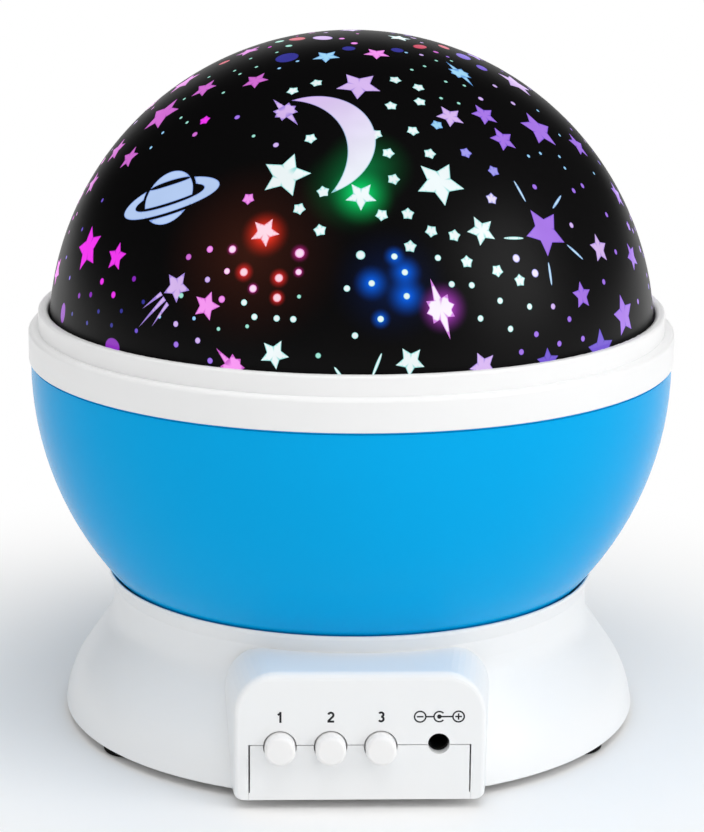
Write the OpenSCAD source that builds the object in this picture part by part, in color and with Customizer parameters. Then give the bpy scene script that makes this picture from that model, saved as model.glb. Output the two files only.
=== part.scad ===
// Star night light projector: a flared base with a control panel, a motor-driven bowl that
// turns on a hollow post, and a push-fit cap with a domed star screen lit from inside by four lamps.
// Millimetres. The origin is on the table, on the turning axis. +Z is up and the panel faces -Y.

/* [Dome and collar] */
// Outer radius of the domed star screen
dome_r = 60.9; // [60.6:0.1:60.9]
// Height of the dome's centre above the table
dome_z = 78.4; // [78.2:0.1:78.6]
// Wall of the dome
dome_wall = 1.6; // [1.2:0.1:2]
// Outer radius of the collar's lower band
collar_r = 65; // [64.8:0.1:65.4]
// Outer radius of the collar's upper lip, the seat of an outer cover
lip_r = 63; // [62.8:0.1:63.4]
// Underside of the collar
collar_z = 74.5; // [74.4:0.1:74.6]
// Height of the collar's lower band
band_h = 6.3; // [6:0.1:6.5]
// Height of the collar's upper lip above the band
lip_h = 3.9; // [3.6:0.1:4.2]

/* [Bowl] */
// Outer radius of the bowl's sphere
bowl_r = 64.6; // [64.4:0.1:64.8]
// Height of the bowl's centre
bowl_z = 73; // [72.8:0.1:73.2]
// Wall of the bowl
bowl_wall = 2.2; // [1.8:0.1:2.6]
// Underside of the bowl's flat floor
floor_z = 25; // [25:0.1:25.4]
// Outer radius of the spigot that the cap pushes on to
spigot_r = 62; // [61.8:0.1:62]
// Height of that spigot above the bowl's rim
spigot_h = 2.5; // [2:0.1:2.6]

/* [Base] */
// Wall of the base housing
base_wall = 2; // [1.8:0.1:2.2]
// Height of the housing's lower edge above the table
base_z = 1.7; // [1.6:0.1:1.9]
// Outer radius of the neck under the bowl
neck_r = 48.7; // [48.5:0.1:48.9]
// Radius of the hollow sweep between the neck and the skirt
sweep_r = 8; // [7:0.5:9]
// Radius of the swelling at the skirt's foot
skirt_r = 22; // [21:0.5:23]
// Distance of that swelling's centre from the axis
skirt_c_r = 36.9; // [36.8:0.1:37]
// Height of that centre
skirt_c_z = -0.5; // [-0.6:0.1:-0.4]
// Slope of the skirt, from the vertical
skirt_slope = 34.6; // [33:0.1:36]
// Gap between the neck's rim and the bowl
rim_gap = 0.4; // [0.35:0.05:0.6]
// Top of the inner deck
deck_z = 20.6; // [20.4:0.1:20.8]
// Thickness of the deck
deck_t = 2; // [1.8:0.1:2.2]

/* [Control panel] */
// How far the panel's face stands in front of the axis
panel_reach = 59.9; // [59.5:0.1:60.2]
// Half the width of the panel box at its front
panel_w2 = 23.7; // [23.4:0.1:24]
// Top of the panel box
panel_top = 27.1; // [26.5:0.1:27.4]
// Radius of the panel's upper corners
panel_corner = 8; // [7:0.5:9]
// Radius of the panel's lower corners
panel_foot = 1.2; // [1:0.1:1.6]
// How much higher the panel's lower edge is than the housing's
panel_lift = 0.3; // [0.2:0.05:0.4]
// Rounding of the panel's upper front edge
panel_edge = 1.5; // [1:0.1:1.8]
// Share of that rounding that the panel's side edges have
panel_side_share = 0.6; // [0.5:0.05:1]
// Widening of the panel box to each side for each millimetre towards the axis
panel_draft = 0.12; // [0.08:0.02:0.2]
// Half the width of the notch that the bottom cover's tab fills
tab_w2 = 20.9; // [20.7:0.1:21]
// Height of the split line between the housing and the tab
split_z = 13; // [12.8:0.1:13.1]
// Gap along the split line
split_gap = 0.18; // [0.12:0.02:0.24]
// Gap at each side of the tab
tab_gap = 0.3; // [0.2:0.05:0.35]
// Position of push button 1 along X
button_1_x = -15; // [-15.2:0.1:-14.8]
// Position of push button 2 along X
button_2_x = -5.5; // [-5.7:0.1:-5.3]
// Position of push button 3 along X
button_3_x = 3.9; // [3.7:0.1:4.1]
// Height of the push buttons
button_z = 12.6; // [12.5:0.1:12.7]
// Radius of a button cap
button_r = 2.9; // [2.7:0.1:3]
// How far a button stands out of the panel
button_out = 2.95; // [2.6:0.05:3.1]
// Clearance round a button
button_gap = 0.25; // [0.2:0.05:0.3]
// Position of the power jack along X
jack_x = 14.8; // [14.4:0.1:15]
// Height of the power jack
jack_z = 13.1; // [13:0.1:13.2]
// Radius of the hole in front of the jack
jack_hole_r = 2.05; // [2:0.05:2.2]
// Radius of the jack's own bore, for a 3.5 mm plug
jack_bore_r = 1.8; // [1.78:0.01:1.82]

/* [Drive] */
// Module of both gears
gear_module = 1; // [1]
// Teeth on the bowl's gear
gear_teeth = 40; // [40]
// Teeth on the motor's pinion
pinion_teeth = 16; // [16]
// Thinning of each side of a tooth at the pitch circle
tooth_slack = 0.12; // [0.1:0.01:0.15]
// Radius of the motor can
motor_r = 12; // [11:0.5:12]
// Radius of the motor shaft
shaft_r = 1; // [1]

/* [Lamp post] */
// Outer radius of the post, which is the bowl's axle
post_r = 6; // [6]
// Bore of the post, for the lamp leads
post_bore = 3.5; // [3:0.1:3.8]
// Top of the post
post_top = 66; // [65.5:0.5:66.5]
// Running clearance between the post and the bowl's bush
run_gap = 0.06; // [0.04:0.01:0.08]
// Radius of a lamp's lens
lamp_r = 2.5; // [2.5]
// Distance of each lamp from the axis
lamp_ring = 4.7; // [4.6:0.1:4.9]

/* [Battery box] */
// Radius of a size AAA cell
cell_r = 5.25; // [5:0.05:5.25]
// Length of a cell with its nub
cell_len = 44.5; // [44.5]
// Distance between neighbouring cells
cell_pitch = 11.2; // [11:0.1:11.3]
// Thickness of the battery door
door_t = 1.6; // [1.4:0.1:1.8]

/* [Hidden] */
$fn = 96;

// Colours
white_abs = [0.93, 0.94, 0.95];
bowl_blue = [0.0, 0.6, 0.87];
dome_black = [0.04, 0.04, 0.05];
rubber_black = [0.06, 0.06, 0.06];
board_green = [0.08, 0.36, 0.2];
steel = [0.74, 0.75, 0.77];
brass = [0.8, 0.66, 0.32];
acetal = [0.88, 0.87, 0.82];

// Fits between fixed pieces, and a length that passes clean through a wall
snug = 0.04;
thru = 0.5;

// Collar and cap
band_top = collar_z + band_h;
lip_top = band_top + lip_h;
cap_slip = 0.1;
cap_bore = spigot_r + cap_slip;
dome_seat_z = 80;
dome_flange_t = 1.5;
dome_flange_z = dome_seat_z - 0.05 - dome_flange_t;
snap_t = 1.1;
snap_groove_r = 62.6;

// Bowl
rim_inner = 60.4;
rim_thick_z = 70.5;
floor_t = 2.4;
bush_r = 7.6;
hub_r = 10.5;
hub_top = 34;
rib_reach = 32;
rib_h = 4;

// Base housing
skirt_c = [skirt_c_r, skirt_c_z];
sweep_c = [neck_r + sweep_r,
    skirt_c[1] + (skirt_r + sweep_r - (neck_r + sweep_r - skirt_c[0]) * cos(skirt_slope))
    / sin(skirt_slope)];
rim_r = 49.6;
rim_top = 30.7;
deck_under = deck_z - deck_t;
boss_at = [34, 26];
boss_r = 3.5;

// Control panel
button_x = [button_1_x, button_2_x, button_3_x];
panel_z = base_z + panel_lift;
tab_foot_z = 3.4;

// Bottom cover
cover_z = 2.4;
cover_t = 2;
cover_top = cover_z + cover_t;
cover_r = 57.2;
cover_gap = 0.25;
foot_at = [44.25, 27.9];
foot_r = 5.5;
foot_tread_z = base_z - 0.25;
foot_neck_r = 4.8;
foot_plug_r = 3.9;
foot_sink = 0.8;

// Board and controls
board_top = 8.6;
board_t = 1.2;
board_w2 = 20.2;
board_front = -56;
board_back = -41.5;
board_screw_at = [18.5, -43.6];
switch_w2 = 4;
switch_front = -54.5;
switch_back = -46.2;
switch_h = 7;
stem_w2 = 1.3;
button_travel = 2;
jack_w2 = 3.5;
jack_front = -panel_reach + base_wall + 0.2;
jack_len = 12;
jack_entry = 3;
jack_chamber_r = jack_bore_r + 0.35;

// Drive
gear_gap = gear_module * (gear_teeth + pinion_teeth) / 2;
gear_bottom = 21.8;
gear_screw_ring = 13;
pinion_z = [21.5, 24.4];
motor_bottom = 6.8;
motor_boss_r = 3.5;
motor_ear_x = 15.5;

// Post and lamps
post_flange_z = 17.2;
post_flange_r = 11;
post_screw_ring = 8.8;
washer_top = deck_z + 0.6;
clip_z = 36.3;
clip_t = 0.8;
holder_top = 68;
lamp_board_t = 1.2;
lamp_z = holder_top + lamp_board_t;
lamp_lens_z = lamp_z + 6.2;

// Battery box
bay_mid = 14.6;
bay_half = 25.8;
bay_w2 = 2 * cell_pitch + 0.4;
bay_wall = 1.2;
cell_z = 9.75;
bay_ceiling = cell_z + cell_r + 0.15;
bay_top = bay_ceiling + 1.05;
door_gap = 0.3;
hinge_y = bay_mid - bay_half + door_gap + door_t / 2;
hinge_z = cover_z + door_t / 2;
hinge_stub_r = 0.75;
door_tongue_w2 = 6;
door_tongue_y = 47;
door_screw_y = 43.6;
contact_t = 0.5;

// Leads
wire_r = 0.4;
wire_z = (bay_top + post_flange_z) / 2;

// ---------------------------------------------------------------- shared shapes

// A tube, or a disc where the bore is 0
module tube(z0, z1, r_out, r_in = 0) {
    difference() {
        translate([0, 0, z0]) cylinder(h = z1 - z0, r = r_out);
        if (r_in > 0) translate([0, 0, z0 - thru]) cylinder(h = z1 - z0 + 2 * thru, r = r_in);
    }
}

// A box given by its lowest and highest corners
module block(low, high) {
    translate(low) cube(high - low);
}

// Takes a square outer corner off a profile and leaves a round one; sx and sy point out of it
module round_off(corner, r, sx, sy) {
    difference() {
        translate([corner[0] - (sx > 0 ? r : thru), corner[1] - (sy > 0 ? r : thru)])
            square(r + thru);
        translate([corner[0] - sx * r, corner[1] - sy * r]) circle(r = r);
    }
}

// A bar of rectangular profile from x0 to x1 and y0 to y1
module slab2(x0, x1, y0, y1) {
    translate([x0, y0]) square([x1 - x0, y1 - y0]);
}

// Copies at the four mirrored corners
module four_corners(at) {
    for (sx = [-1, 1], sy = [-1, 1]) translate([sx * at[0], sy * at[1], 0]) children();
}

// A pan-head screw that points up: its head's underside is at z = 0
module screw(shank_r, length, head_r, head_h) {
    difference() {
        union() {
            translate([0, 0, -head_h]) cylinder(h = head_h, r = head_r, $fn = 48);
            cylinder(h = length, r = shank_r, $fn = 32);
        }
        for (a = [0, 90])
            rotate(a) translate([-head_r * 0.6, -0.2, -head_h - thru])
                cube([head_r * 1.2, 0.4, thru + head_h * 0.5]);
    }
}

// Points of a route whose inner corners are rounded with a quadratic curve of reach c
function eased(p, c) = concat([p[0]],
    [for (i = [1:len(p) - 2], s = [0:0.25:1])
        let (a = p[i] + c * unit(p[i - 1] - p[i]), b = p[i] + c * unit(p[i + 1] - p[i]))
        (1 - s) * (1 - s) * a + 2 * s * (1 - s) * p[i] + s * s * b],
    [p[len(p) - 1]]);

function unit(v) = v / norm(v);

// A tube swept along points. No stretch of it may run along the reference direction.
module sweep(p, r, sides = 6) {
    last = len(p) - 1;
    reference = unit([0.35, 0.8, 0.48]);
    rings = [for (i = [0:last])
        let (t = unit(p[min(i + 1, last)] - p[max(i - 1, 0)]),
            n = unit(cross(t, reference)), b = cross(t, n))
        for (k = [0:sides - 1]) p[i] + r * (cos(k * 360 / sides) * n + sin(k * 360 / sides) * b)];
    walls = [for (i = [0:last - 1], k = [0:sides - 1])
        let (a = i * sides + k, b = i * sides + (k + 1) % sides)
        each [[a, b + sides, b], [a, a + sides, b + sides]]];
    ends = [[for (k = [0:sides - 1]) k], [for (k = [sides - 1:-1:0]) last * sides + k]];
    polyhedron(points = rings, faces = concat(walls, ends));
}

// ---------------------------------------------------------------- gears

function involute(a) = tan(a) * 180 / PI - a;

// Half the angle that a tooth covers at radius r
function tooth_half(teeth, r) =
    let (pitch_r = gear_module * teeth / 2, base_r = pitch_r * cos(20))
    90 / teeth - tooth_slack / pitch_r * 180 / PI + involute(20)
    - involute(acos(min(1, base_r / r)));

// Outline of a spur gear with one tooth centred on +X
module gear_outline(teeth) {
    pitch_r = gear_module * teeth / 2;
    root_r = pitch_r - 1.25 * gear_module;
    flank = [for (s = [0:3]) root_r + s * 2.25 * gear_module / 3];
    polygon([for (i = [0:teeth - 1], side = [-1, 1], k = [0:3])
        let (r = flank[side < 0 ? k : 3 - k], a = i * 360 / teeth + side * tooth_half(teeth, r))
        r * [cos(a), sin(a)]]);
}

// ---------------------------------------------------------------- cap: collar, dome, snap ring

module collar_profile() {
    difference() {
        union() {
            slab2(cap_bore, collar_r, collar_z, band_top);
            slab2(cap_bore - 1.1, lip_r, dome_seat_z, lip_top);
        }
        round_off([collar_r, band_top], 0.7, 1, 1);
        round_off([collar_r, collar_z], 0.35, 1, -1);
        round_off([lip_r, lip_top], 0.6, 1, 1);
        round_off([cap_bore - 1.1, lip_top], 0.8, -1, 1);
        slab2(cap_bore - 1, snap_groove_r, dome_flange_z - snap_t - 0.1, dome_flange_z);
    }
}

module collar_ring() {
    color(white_abs) rotate_extrude($fn = 180) collar_profile();
}

module star_dome() {
    color(dome_black) rotate_extrude($fn = 180) {
        difference() {
            translate([0, dome_z]) circle(r = dome_r);
            translate([0, dome_z]) circle(r = dome_r - dome_wall);
            slab2(-2 * dome_r, 0, 0, 3 * dome_r);
            slab2(-thru, 2 * dome_r, 0, dome_flange_z);
        }
        slab2(dome_r - dome_wall + 0.1, spigot_r - 0.1, dome_flange_z, dome_flange_z + dome_flange_t);
    }
}

// A split spring ring in the collar's groove that holds the dome's flange up against its seat
module snap_ring() {
    color(steel) difference() {
        tube(dome_flange_z - snap_t, dome_flange_z - 0.02, snap_groove_r - 0.1, 60.2);
        block([0, -1.5, 70], [70, 1.5, 90]);
    }
}

// ---------------------------------------------------------------- bowl

module bowl_profile() {
    inner = bowl_r - bowl_wall;
    difference() {
        union() {
            difference() {
                translate([0, bowl_z]) circle(r = bowl_r);
                translate([0, bowl_z]) circle(r = inner);
            }
            intersection() {
                translate([0, bowl_z]) circle(r = bowl_r - bowl_wall / 2);
                union() {
                    slab2(0, bowl_r, floor_z, floor_z + floor_t);
                    polygon([[rim_inner, rim_thick_z + 2], [rim_inner, collar_z], [bowl_r, collar_z],
                        [bowl_r, rim_thick_z], [rim_inner + 2, rim_thick_z]]);
                }
            }
        }
        slab2(-2 * bowl_r, 0, -bowl_r, 3 * bowl_r);
        slab2(-thru, 2 * bowl_r, -bowl_r, floor_z);
        slab2(-thru, 2 * bowl_r, collar_z, 3 * bowl_r);
        slab2(-thru, bush_r + snug, 0, hub_top + thru);
        // shadow groove under the collar
        slab2(bowl_r - 0.35, bowl_r + thru, collar_z - 0.4, collar_z + thru);
    }
    slab2(bush_r + snug, hub_r, floor_z, hub_top);
    slab2(rim_inner, spigot_r, collar_z - 1, collar_z + spigot_h);
}

module bowl_shell() {
    color(bowl_blue) difference() {
        union() {
            rotate_extrude($fn = 180) bowl_profile();
            for (i = [0:5])
                rotate(i * 60 + 30)
                    block([hub_r - 1, -0.8, floor_z + 1], [rib_reach, 0.8, floor_z + floor_t + rib_h]);
            for (i = [0:2])
                rotate(i * 120) translate([gear_screw_ring, 0, 0])
                    tube(floor_z + 1, floor_z + floor_t + rib_h, 2.6);
        }
        for (i = [0:2])
            rotate(i * 120) translate([gear_screw_ring, 0, floor_z - thru])
                cylinder(h = 6, r = 0.95, $fn = 32);
    }
}

module bowl_gear() {
    color(acetal) difference() {
        translate([0, 0, gear_bottom]) linear_extrude(floor_z - gear_bottom) gear_outline(gear_teeth);
        translate([0, 0, gear_bottom - thru]) cylinder(h = 5, r = bush_r + snug);
        for (i = [0:2]) {
            rotate(i * 120) translate([gear_screw_ring, 0, gear_bottom - thru]) {
                cylinder(h = 5, r = 1.2, $fn = 32);
                cylinder(h = thru + 1.4, r = 2.2, $fn = 48);
            }
            rotate(i * 120 + 60) translate([gear_screw_ring, 0, gear_bottom - thru])
                cylinder(h = 5, r = 2.6, $fn = 48);
        }
    }
}

module gear_screws() {
    color(steel) for (i = [0:2])
        rotate(i * 120) translate([gear_screw_ring, 0, gear_bottom + 1.4]) screw(0.9, 6.5, 1.9, 1.2);
}

// Flanged bush, a running fit on the post
module hub_bush() {
    color(acetal) {
        tube(washer_top, hub_top, bush_r, post_r + run_gap);
        tube(hub_top, hub_top + 2, 9.5, post_r + run_gap);
    }
}

// ---------------------------------------------------------------- drive

module drive_pinion() {
    color(acetal) translate([0, -gear_gap, 0]) difference() {
        translate([0, 0, pinion_z[0]]) linear_extrude(pinion_z[1] - pinion_z[0])
            rotate(180 / pinion_teeth) gear_outline(pinion_teeth);
        translate([0, 0, pinion_z[0] - thru]) cylinder(h = 5, r = shaft_r + 0.02, $fn = 48);
    }
}

module motor_shaft() {
    color(steel) translate([0, -gear_gap, 0]) tube(motor_bottom + 2.2, pinion_z[1], shaft_r);
}

module drive_motor() {
    shaft_hole = shaft_r + 0.05;
    color(steel) translate([0, -gear_gap, 0]) difference() {
        union() {
            tube(motor_bottom, deck_under, motor_r);
            tube(deck_under - 1, deck_z, motor_boss_r);
            for (s = [-1, 1]) translate([s * motor_ear_x, 0, 0]) tube(deck_under - 1, deck_under, 2.6);
            block([-motor_ear_x, -2.6, deck_under - 1], [motor_ear_x, 2.6, deck_under]);
        }
        translate([0, 0, motor_bottom + 2]) cylinder(h = 20, r = shaft_hole, $fn = 48);
        for (s = [-1, 1])
            translate([s * motor_ear_x, 0, deck_under - 2]) cylinder(h = 3, r = 1.15, $fn = 32);
    }
}

module motor_screws() {
    color(steel) for (s = [-1, 1])
        translate([s * motor_ear_x, -gear_gap, deck_under - 1]) screw(0.9, 2.8, 1.9, 1.2);
}

// ---------------------------------------------------------------- base housing

// Solid of the skirt, the sweep and the neck, drawn in by an offset for the inside
module base_profile(inset, top) {
    d = [cos(skirt_slope), sin(skirt_slope)];
    r_skirt = skirt_r - inset;
    r_sweep = sweep_r + inset;
    low = skirt_c + r_skirt * d;
    high = sweep_c - r_sweep * d;
    bottom_r = skirt_c[0] + sqrt(r_skirt * r_skirt - pow(base_z - skirt_c[1], 2));
    difference() {
        union() {
            polygon([[0, base_z], [bottom_r, base_z], low, high, [neck_r - inset, sweep_c[1]],
                [neck_r - inset, top], [0, top]]);
            intersection() {
                translate(skirt_c) circle(r = r_skirt);
                slab2(low[0] - 1, skirt_c[0] + skirt_r, base_z, low[1]);
            }
        }
        translate(sweep_c) circle(r = r_sweep);
    }
}

module housing_profile() {
    flare_z = 27.4;
    difference() {
        union() {
            base_profile(0, rim_top);
            polygon([[neck_r - 1, flare_z - 1], [neck_r, flare_z], [rim_r, rim_top - 0.8],
                [rim_r, rim_top], [neck_r - 1, rim_top]]);
        }
        round_off([rim_r, rim_top], 0.2, 1, 1);
        round_off([skirt_c[0] + sqrt(skirt_r * skirt_r - pow(base_z - skirt_c[1], 2)), base_z], 0.5, 1, -1);
    }
}

// The box that carries the controls. Its edges are rounded in a few steps and its sides are drafted.
module panel_box(inset, edge) {
    face_y = -panel_reach + inset;
    back_y = -44;
    w2 = panel_w2 - inset;
    top = panel_top - inset;
    bottom = inset > 0 ? base_z - 3 : panel_z;
    foot = inset > 0 ? 0.4 : panel_foot;
    // each step is the angle along the edge's rounding; the last one is the back of the box
    hull() for (step = [0, 22.5, 45, 67.5, 90, 180]) {
        back = step == 180;
        shrink = back ? 0 : edge * (1 - sin(step));
        side = panel_side_share * shrink;
        y = back ? back_y : face_y + edge * (1 - cos(step));
        widen = panel_draft * max(0, y - face_y - edge);
        for (s = [-1, 1]) {
            translate([s * (w2 + widen - panel_corner + shrink - side), y, top - panel_corner])
                rotate([-90, 0, 0]) cylinder(h = 0.01, r = panel_corner - shrink, $fn = 40);
            translate([s * (w2 + widen - side - foot), y, bottom + foot])
                rotate([-90, 0, 0]) cylinder(h = 0.01, r = foot, $fn = 24);
        }
    }
}

// The holes that the split line runs through, cut in the housing and in the cover's tab
module control_holes() {
    for (x = button_x)
        translate([x, -panel_reach - 1, button_z]) rotate([-90, 0, 0])
            cylinder(h = 4, r = button_r + button_gap, $fn = 64);
    translate([jack_x, -panel_reach - 1, jack_z]) rotate([-90, 0, 0])
        cylinder(h = 4, r = jack_hole_r, $fn = 64);
}

module base_housing() {
    color(white_abs) difference() {
        union() {
            difference() {
                union() {
                    rotate_extrude($fn = 180) housing_profile();
                    panel_box(0, panel_edge);
                }
                // inside of the skirt, below the deck
                rotate_extrude($fn = 180) difference() {
                    base_profile(base_wall, deck_under);
                    slab2(-thru, 100, deck_under, 100);
                }
                // rebate that the bottom cover's rim sits in
                tube(base_z - 1, cover_top + 0.1, cover_r + cover_gap);
                // well for the bowl, above the deck
                tube(deck_z, 40, neck_r - base_wall);
                translate([0, 0, bowl_z]) sphere(r = bowl_r + rim_gap, $fn = 180);
                // inside of the panel box, which leaves the neck standing above the deck
                difference() {
                    panel_box(base_wall, 0.6);
                    tube(deck_under, 40, neck_r);
                }
                // notch for the bottom cover's tab
                block([-tab_w2, -panel_reach - 1, base_z - 1],
                    [tab_w2, -panel_reach + base_wall + 1, split_z]);
            }
            four_corners(boss_at) tube(cover_top, deck_under + 0.5, boss_r);
        }
        control_holes();
        four_corners(boss_at) tube(cover_top - thru, cover_top + 9, 1.25);
        // deck openings: the post, the motor's boss, and their screws
        tube(deck_under - thru, deck_z + thru, post_r + snug);
        translate([0, -gear_gap, 0]) tube(deck_under - thru, deck_z + thru, motor_boss_r + 0.1);
        for (s = [-1, 1])
            translate([s * motor_ear_x, -gear_gap, 0]) tube(deck_under - thru, deck_z + thru, 0.95);
        for (i = [0:2])
            rotate(i * 120 + 90) translate([post_screw_ring, 0, 0])
                tube(deck_under - thru, deck_z + thru, 0.9);
    }
}

// ---------------------------------------------------------------- bottom cover

// Plan of the battery door, grown by a gap for the opening that it closes
module door_plan(gap) {
    front = bay_mid - bay_half + door_gap;
    slab2(-bay_w2 + door_gap - gap, bay_w2 - door_gap + gap, front - gap, bay_mid + bay_half - 2 + gap);
    slab2(-door_tongue_w2 - gap, door_tongue_w2 + gap, bay_mid + bay_half - 4, door_tongue_y + gap);
}

module base_cover() {
    tab_y = -panel_reach;
    cheek_w2 = 1.4;
    cheek_reach = 2.4;
    color(white_abs) difference() {
        union() {
            difference() {
                union() {
                    tube(cover_z, cover_top, cover_r);
                    // apron that reaches forward to the tab and widens with the panel box
                    translate([0, 0, cover_z]) linear_extrude(cover_t)
                        polygon([for (s = [-1, 1], y = s < 0 ? [tab_y + 1, -48] : [-48, tab_y + 1])
                            [s * (tab_w2 - 0.3 + panel_draft * max(0, y - tab_y - 3)), y]]);
                    // tub of the battery box
                    block([-bay_w2 - bay_wall, bay_mid - bay_half - bay_wall, cover_z],
                        [bay_w2 + bay_wall, bay_mid + bay_half - 1 + bay_wall, bay_top]);
                    // boss for the door's screw
                    block([-8, bay_mid + bay_half - 2, cover_z], [8, 49, cover_top + 3]);
                    translate([0, door_screw_y, 0]) tube(cover_top, 12, 4);
                    // seats for the control board's screws
                    for (s = [-1, 1])
                        translate([s * board_screw_at[0], board_screw_at[1], 0])
                            tube(cover_z, board_top - board_t, 2.6);
                }
                block([-bay_w2, bay_mid - bay_half, cover_z - 1],
                    [bay_w2, bay_mid + bay_half - 1, bay_ceiling]);
                translate([0, 0, cover_z - 1]) linear_extrude(door_t + 1 + 0.25) door_plan(door_gap);
            }
            // front tab, flush with the panel; its foot fills the notch and centres it
            block([-tab_w2 + tab_gap, tab_y, panel_z],
                [tab_w2 - tab_gap, tab_y + base_wall, split_z - split_gap]);
            block([-tab_w2 + snug, tab_y, panel_z],
                [tab_w2 - snug, tab_y + base_wall, tab_foot_z]);
            // cheeks with the sockets of the door's stubs
            for (s = [-1, 1])
                translate([s * (bay_w2 + cheek_w2), 0, 0])
                    block([-cheek_w2, hinge_y - cheek_reach, cover_z],
                        [cheek_w2, hinge_y + cheek_reach, hinge_z + cheek_reach]);
        }
        control_holes();
        for (s = [-1, 1])
            translate([s * (bay_w2 - thru), hinge_y, hinge_z]) rotate([0, s * 90, 0])
                cylinder(h = 1.6 + thru, r = hinge_stub_r + 0.08, $fn = 48);
        translate([0, door_screw_y, 0]) tube(cover_z, 11, 1.5);
        four_corners(foot_at) tube(cover_z - thru, cover_z + foot_sink, foot_plug_r + 0.1);
        four_corners(boss_at) {
            tube(cover_z - thru, cover_z + 1.1, 2.6);
            tube(cover_z, cover_top + thru, 1.5);
        }
        for (s = [-1, 1])
            translate([s * board_screw_at[0], board_screw_at[1], 0])
                tube(cover_z + 0.6, board_top, 0.95);
    }
}

// Feet whose tread spreads out below the housing's edge
module rubber_feet() {
    color(rubber_black) four_corners(foot_at) rotate_extrude($fn = 64) difference() {
        union() {
            slab2(0, foot_r, 0, foot_tread_z);
            slab2(0, foot_neck_r, 0, cover_z - snug);
            slab2(0, foot_plug_r, 0, cover_z + foot_sink);
        }
        round_off([foot_r, 0], 0.5, 1, -1);
    }
}

module cover_screws() {
    color(steel) four_corners(boss_at) translate([0, 0, cover_z + 1.1]) screw(1.15, 8, 2.3, 1);
}

module battery_door() {
    back = bay_mid + bay_half - 2;
    color(white_abs) difference() {
        union() {
            difference() {
                translate([0, 0, cover_z]) linear_extrude(door_t) door_plan(0);
                block([-40, hinge_y - 5, 0], [40, hinge_y, 8]);
            }
            translate([-bay_w2 + door_gap, hinge_y, hinge_z]) rotate([0, 90, 0])
                cylinder(h = 2 * (bay_w2 - door_gap), r = door_t / 2, $fn = 48);
            translate([-bay_w2 - 1.2, hinge_y, hinge_z]) rotate([0, 90, 0])
                cylinder(h = 2 * (bay_w2 + 1.2), r = hinge_stub_r, $fn = 48);
        }
        // grip grooves, and the screw's countersunk place
        for (i = [0:4])
            block([-10, back - 9 + i * 1.8, cover_z - thru], [10, back - 8.2 + i * 1.8, cover_z + 0.4]);
        translate([0, door_screw_y, 0]) {
            tube(0, cover_z + 0.8, 2.4);
            tube(0, 8, 1.05);
        }
    }
}

module door_screw() {
    color(steel) translate([0, door_screw_y, cover_z + 0.8]) screw(1, 5, 2.1, 0.7);
}

// ---------------------------------------------------------------- battery box

function cell_x(i) = (i - 1.5) * cell_pitch;

// Which way a cell lies: 1 puts its nub to the back
function cell_way(i) = i % 2 == 0 ? 1 : -1;

module aaa_cells() {
    half = cell_len / 2;
    nub_h = 0.8;
    color(brass) for (i = [0:3])
        translate([cell_x(i), bay_mid, cell_z]) rotate([-90 * cell_way(i), 0, 0]) {
            tube(-half, half - nub_h, cell_r);
            tube(half - nub_h - 0.2, half, 1.9);
        }
}

module battery_contacts() {
    front = bay_mid - bay_half;
    back = bay_mid + bay_half - 1;
    bump = back - contact_t - bay_mid - cell_len / 2 - 0.1;
    color(steel) for (i = [0:3]) {
        x = cell_x(i);
        block([x - 4.4, front, cell_z - 4], [x + 4.4, front + contact_t, cell_z + 5]);
        block([x - 4.4, back - contact_t, cell_z - 4], [x + 4.4, back, cell_z + 5]);
        if (cell_way(i) > 0)
            translate([x, back - contact_t, cell_z]) rotate([90, 0, 0])
                cylinder(h = bump, r1 = 3, r2 = 1.6);
        else
            translate([x, front + contact_t, cell_z]) rotate([-90, 0, 0])
                cylinder(h = bay_half - cell_len / 2 - contact_t - 0.1, r1 = 3, r2 = 1.6);
    }
}

// A coil along +Y that narrows from its plate to the cell
module coil(reach, turns, r_wide, r_tip, wire_r) {
    steps = turns * 12;
    sweep([for (i = [0:steps])
        let (s = i / steps, r = r_wide + (r_tip - r_wide) * s)
        [r * cos(i * 30), wire_r + s * (reach - 2 * wire_r), r * sin(i * 30)]], wire_r, 5);
}

module battery_springs() {
    front = bay_mid - bay_half + contact_t + 0.05;
    back = bay_mid + bay_half - 1 - contact_t - 0.05;
    reach_front = bay_mid - cell_len / 2 - front - 0.05;
    reach_back = back - bay_mid - cell_len / 2 - 0.05;
    color(steel) for (i = [0:3])
        if (cell_way(i) > 0)
            translate([cell_x(i), front, cell_z]) coil(reach_front, 3, 3.4, 2.4, 0.3);
        else
            translate([cell_x(i), back, cell_z]) rotate(180) coil(reach_back, 2, 3.4, 2.4, 0.3);
}

// ---------------------------------------------------------------- control board

module control_board() {
    color(board_green) difference() {
        block([-board_w2, board_front, board_top - board_t], [board_w2, board_back, board_top]);
        for (s = [-1, 1])
            translate([s * board_screw_at[0], board_screw_at[1], 0])
                tube(board_top - board_t - thru, board_top + thru, 1.15);
    }
}

// Controller chip, capacitor and three resistors
module board_parts() {
    color(rubber_black) {
        block([-3.5, -45.8, board_top], [4.2, -42, board_top + 1.6]);
        translate([14.4, -43.5, 0]) tube(board_top, board_top + 5, 1.9);
        for (i = [0:2]) block([-15 + i * 3.4, -45, board_top], [-13.2 + i * 3.4, -42.4, board_top + 0.7]);
    }
}

module board_screws() {
    color(steel) for (s = [-1, 1])
        translate([s * board_screw_at[0], board_screw_at[1], board_top]) rotate([180, 0, 0])
            screw(0.9, 4.6, 1.8, 1);
}

// Body of a latching push switch, open at the front for the button's stem
module push_switch(x) {
    color(rubber_black) difference() {
        block([x - switch_w2, switch_front, board_top], [x + switch_w2, switch_back, board_top + switch_h]);
        block([x - stem_w2 - 0.2, switch_front - thru, button_z - stem_w2 - 0.2],
            [x + stem_w2 + 0.2, switch_back + 1.2, button_z + stem_w2 + 0.2]);
    }
}

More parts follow.
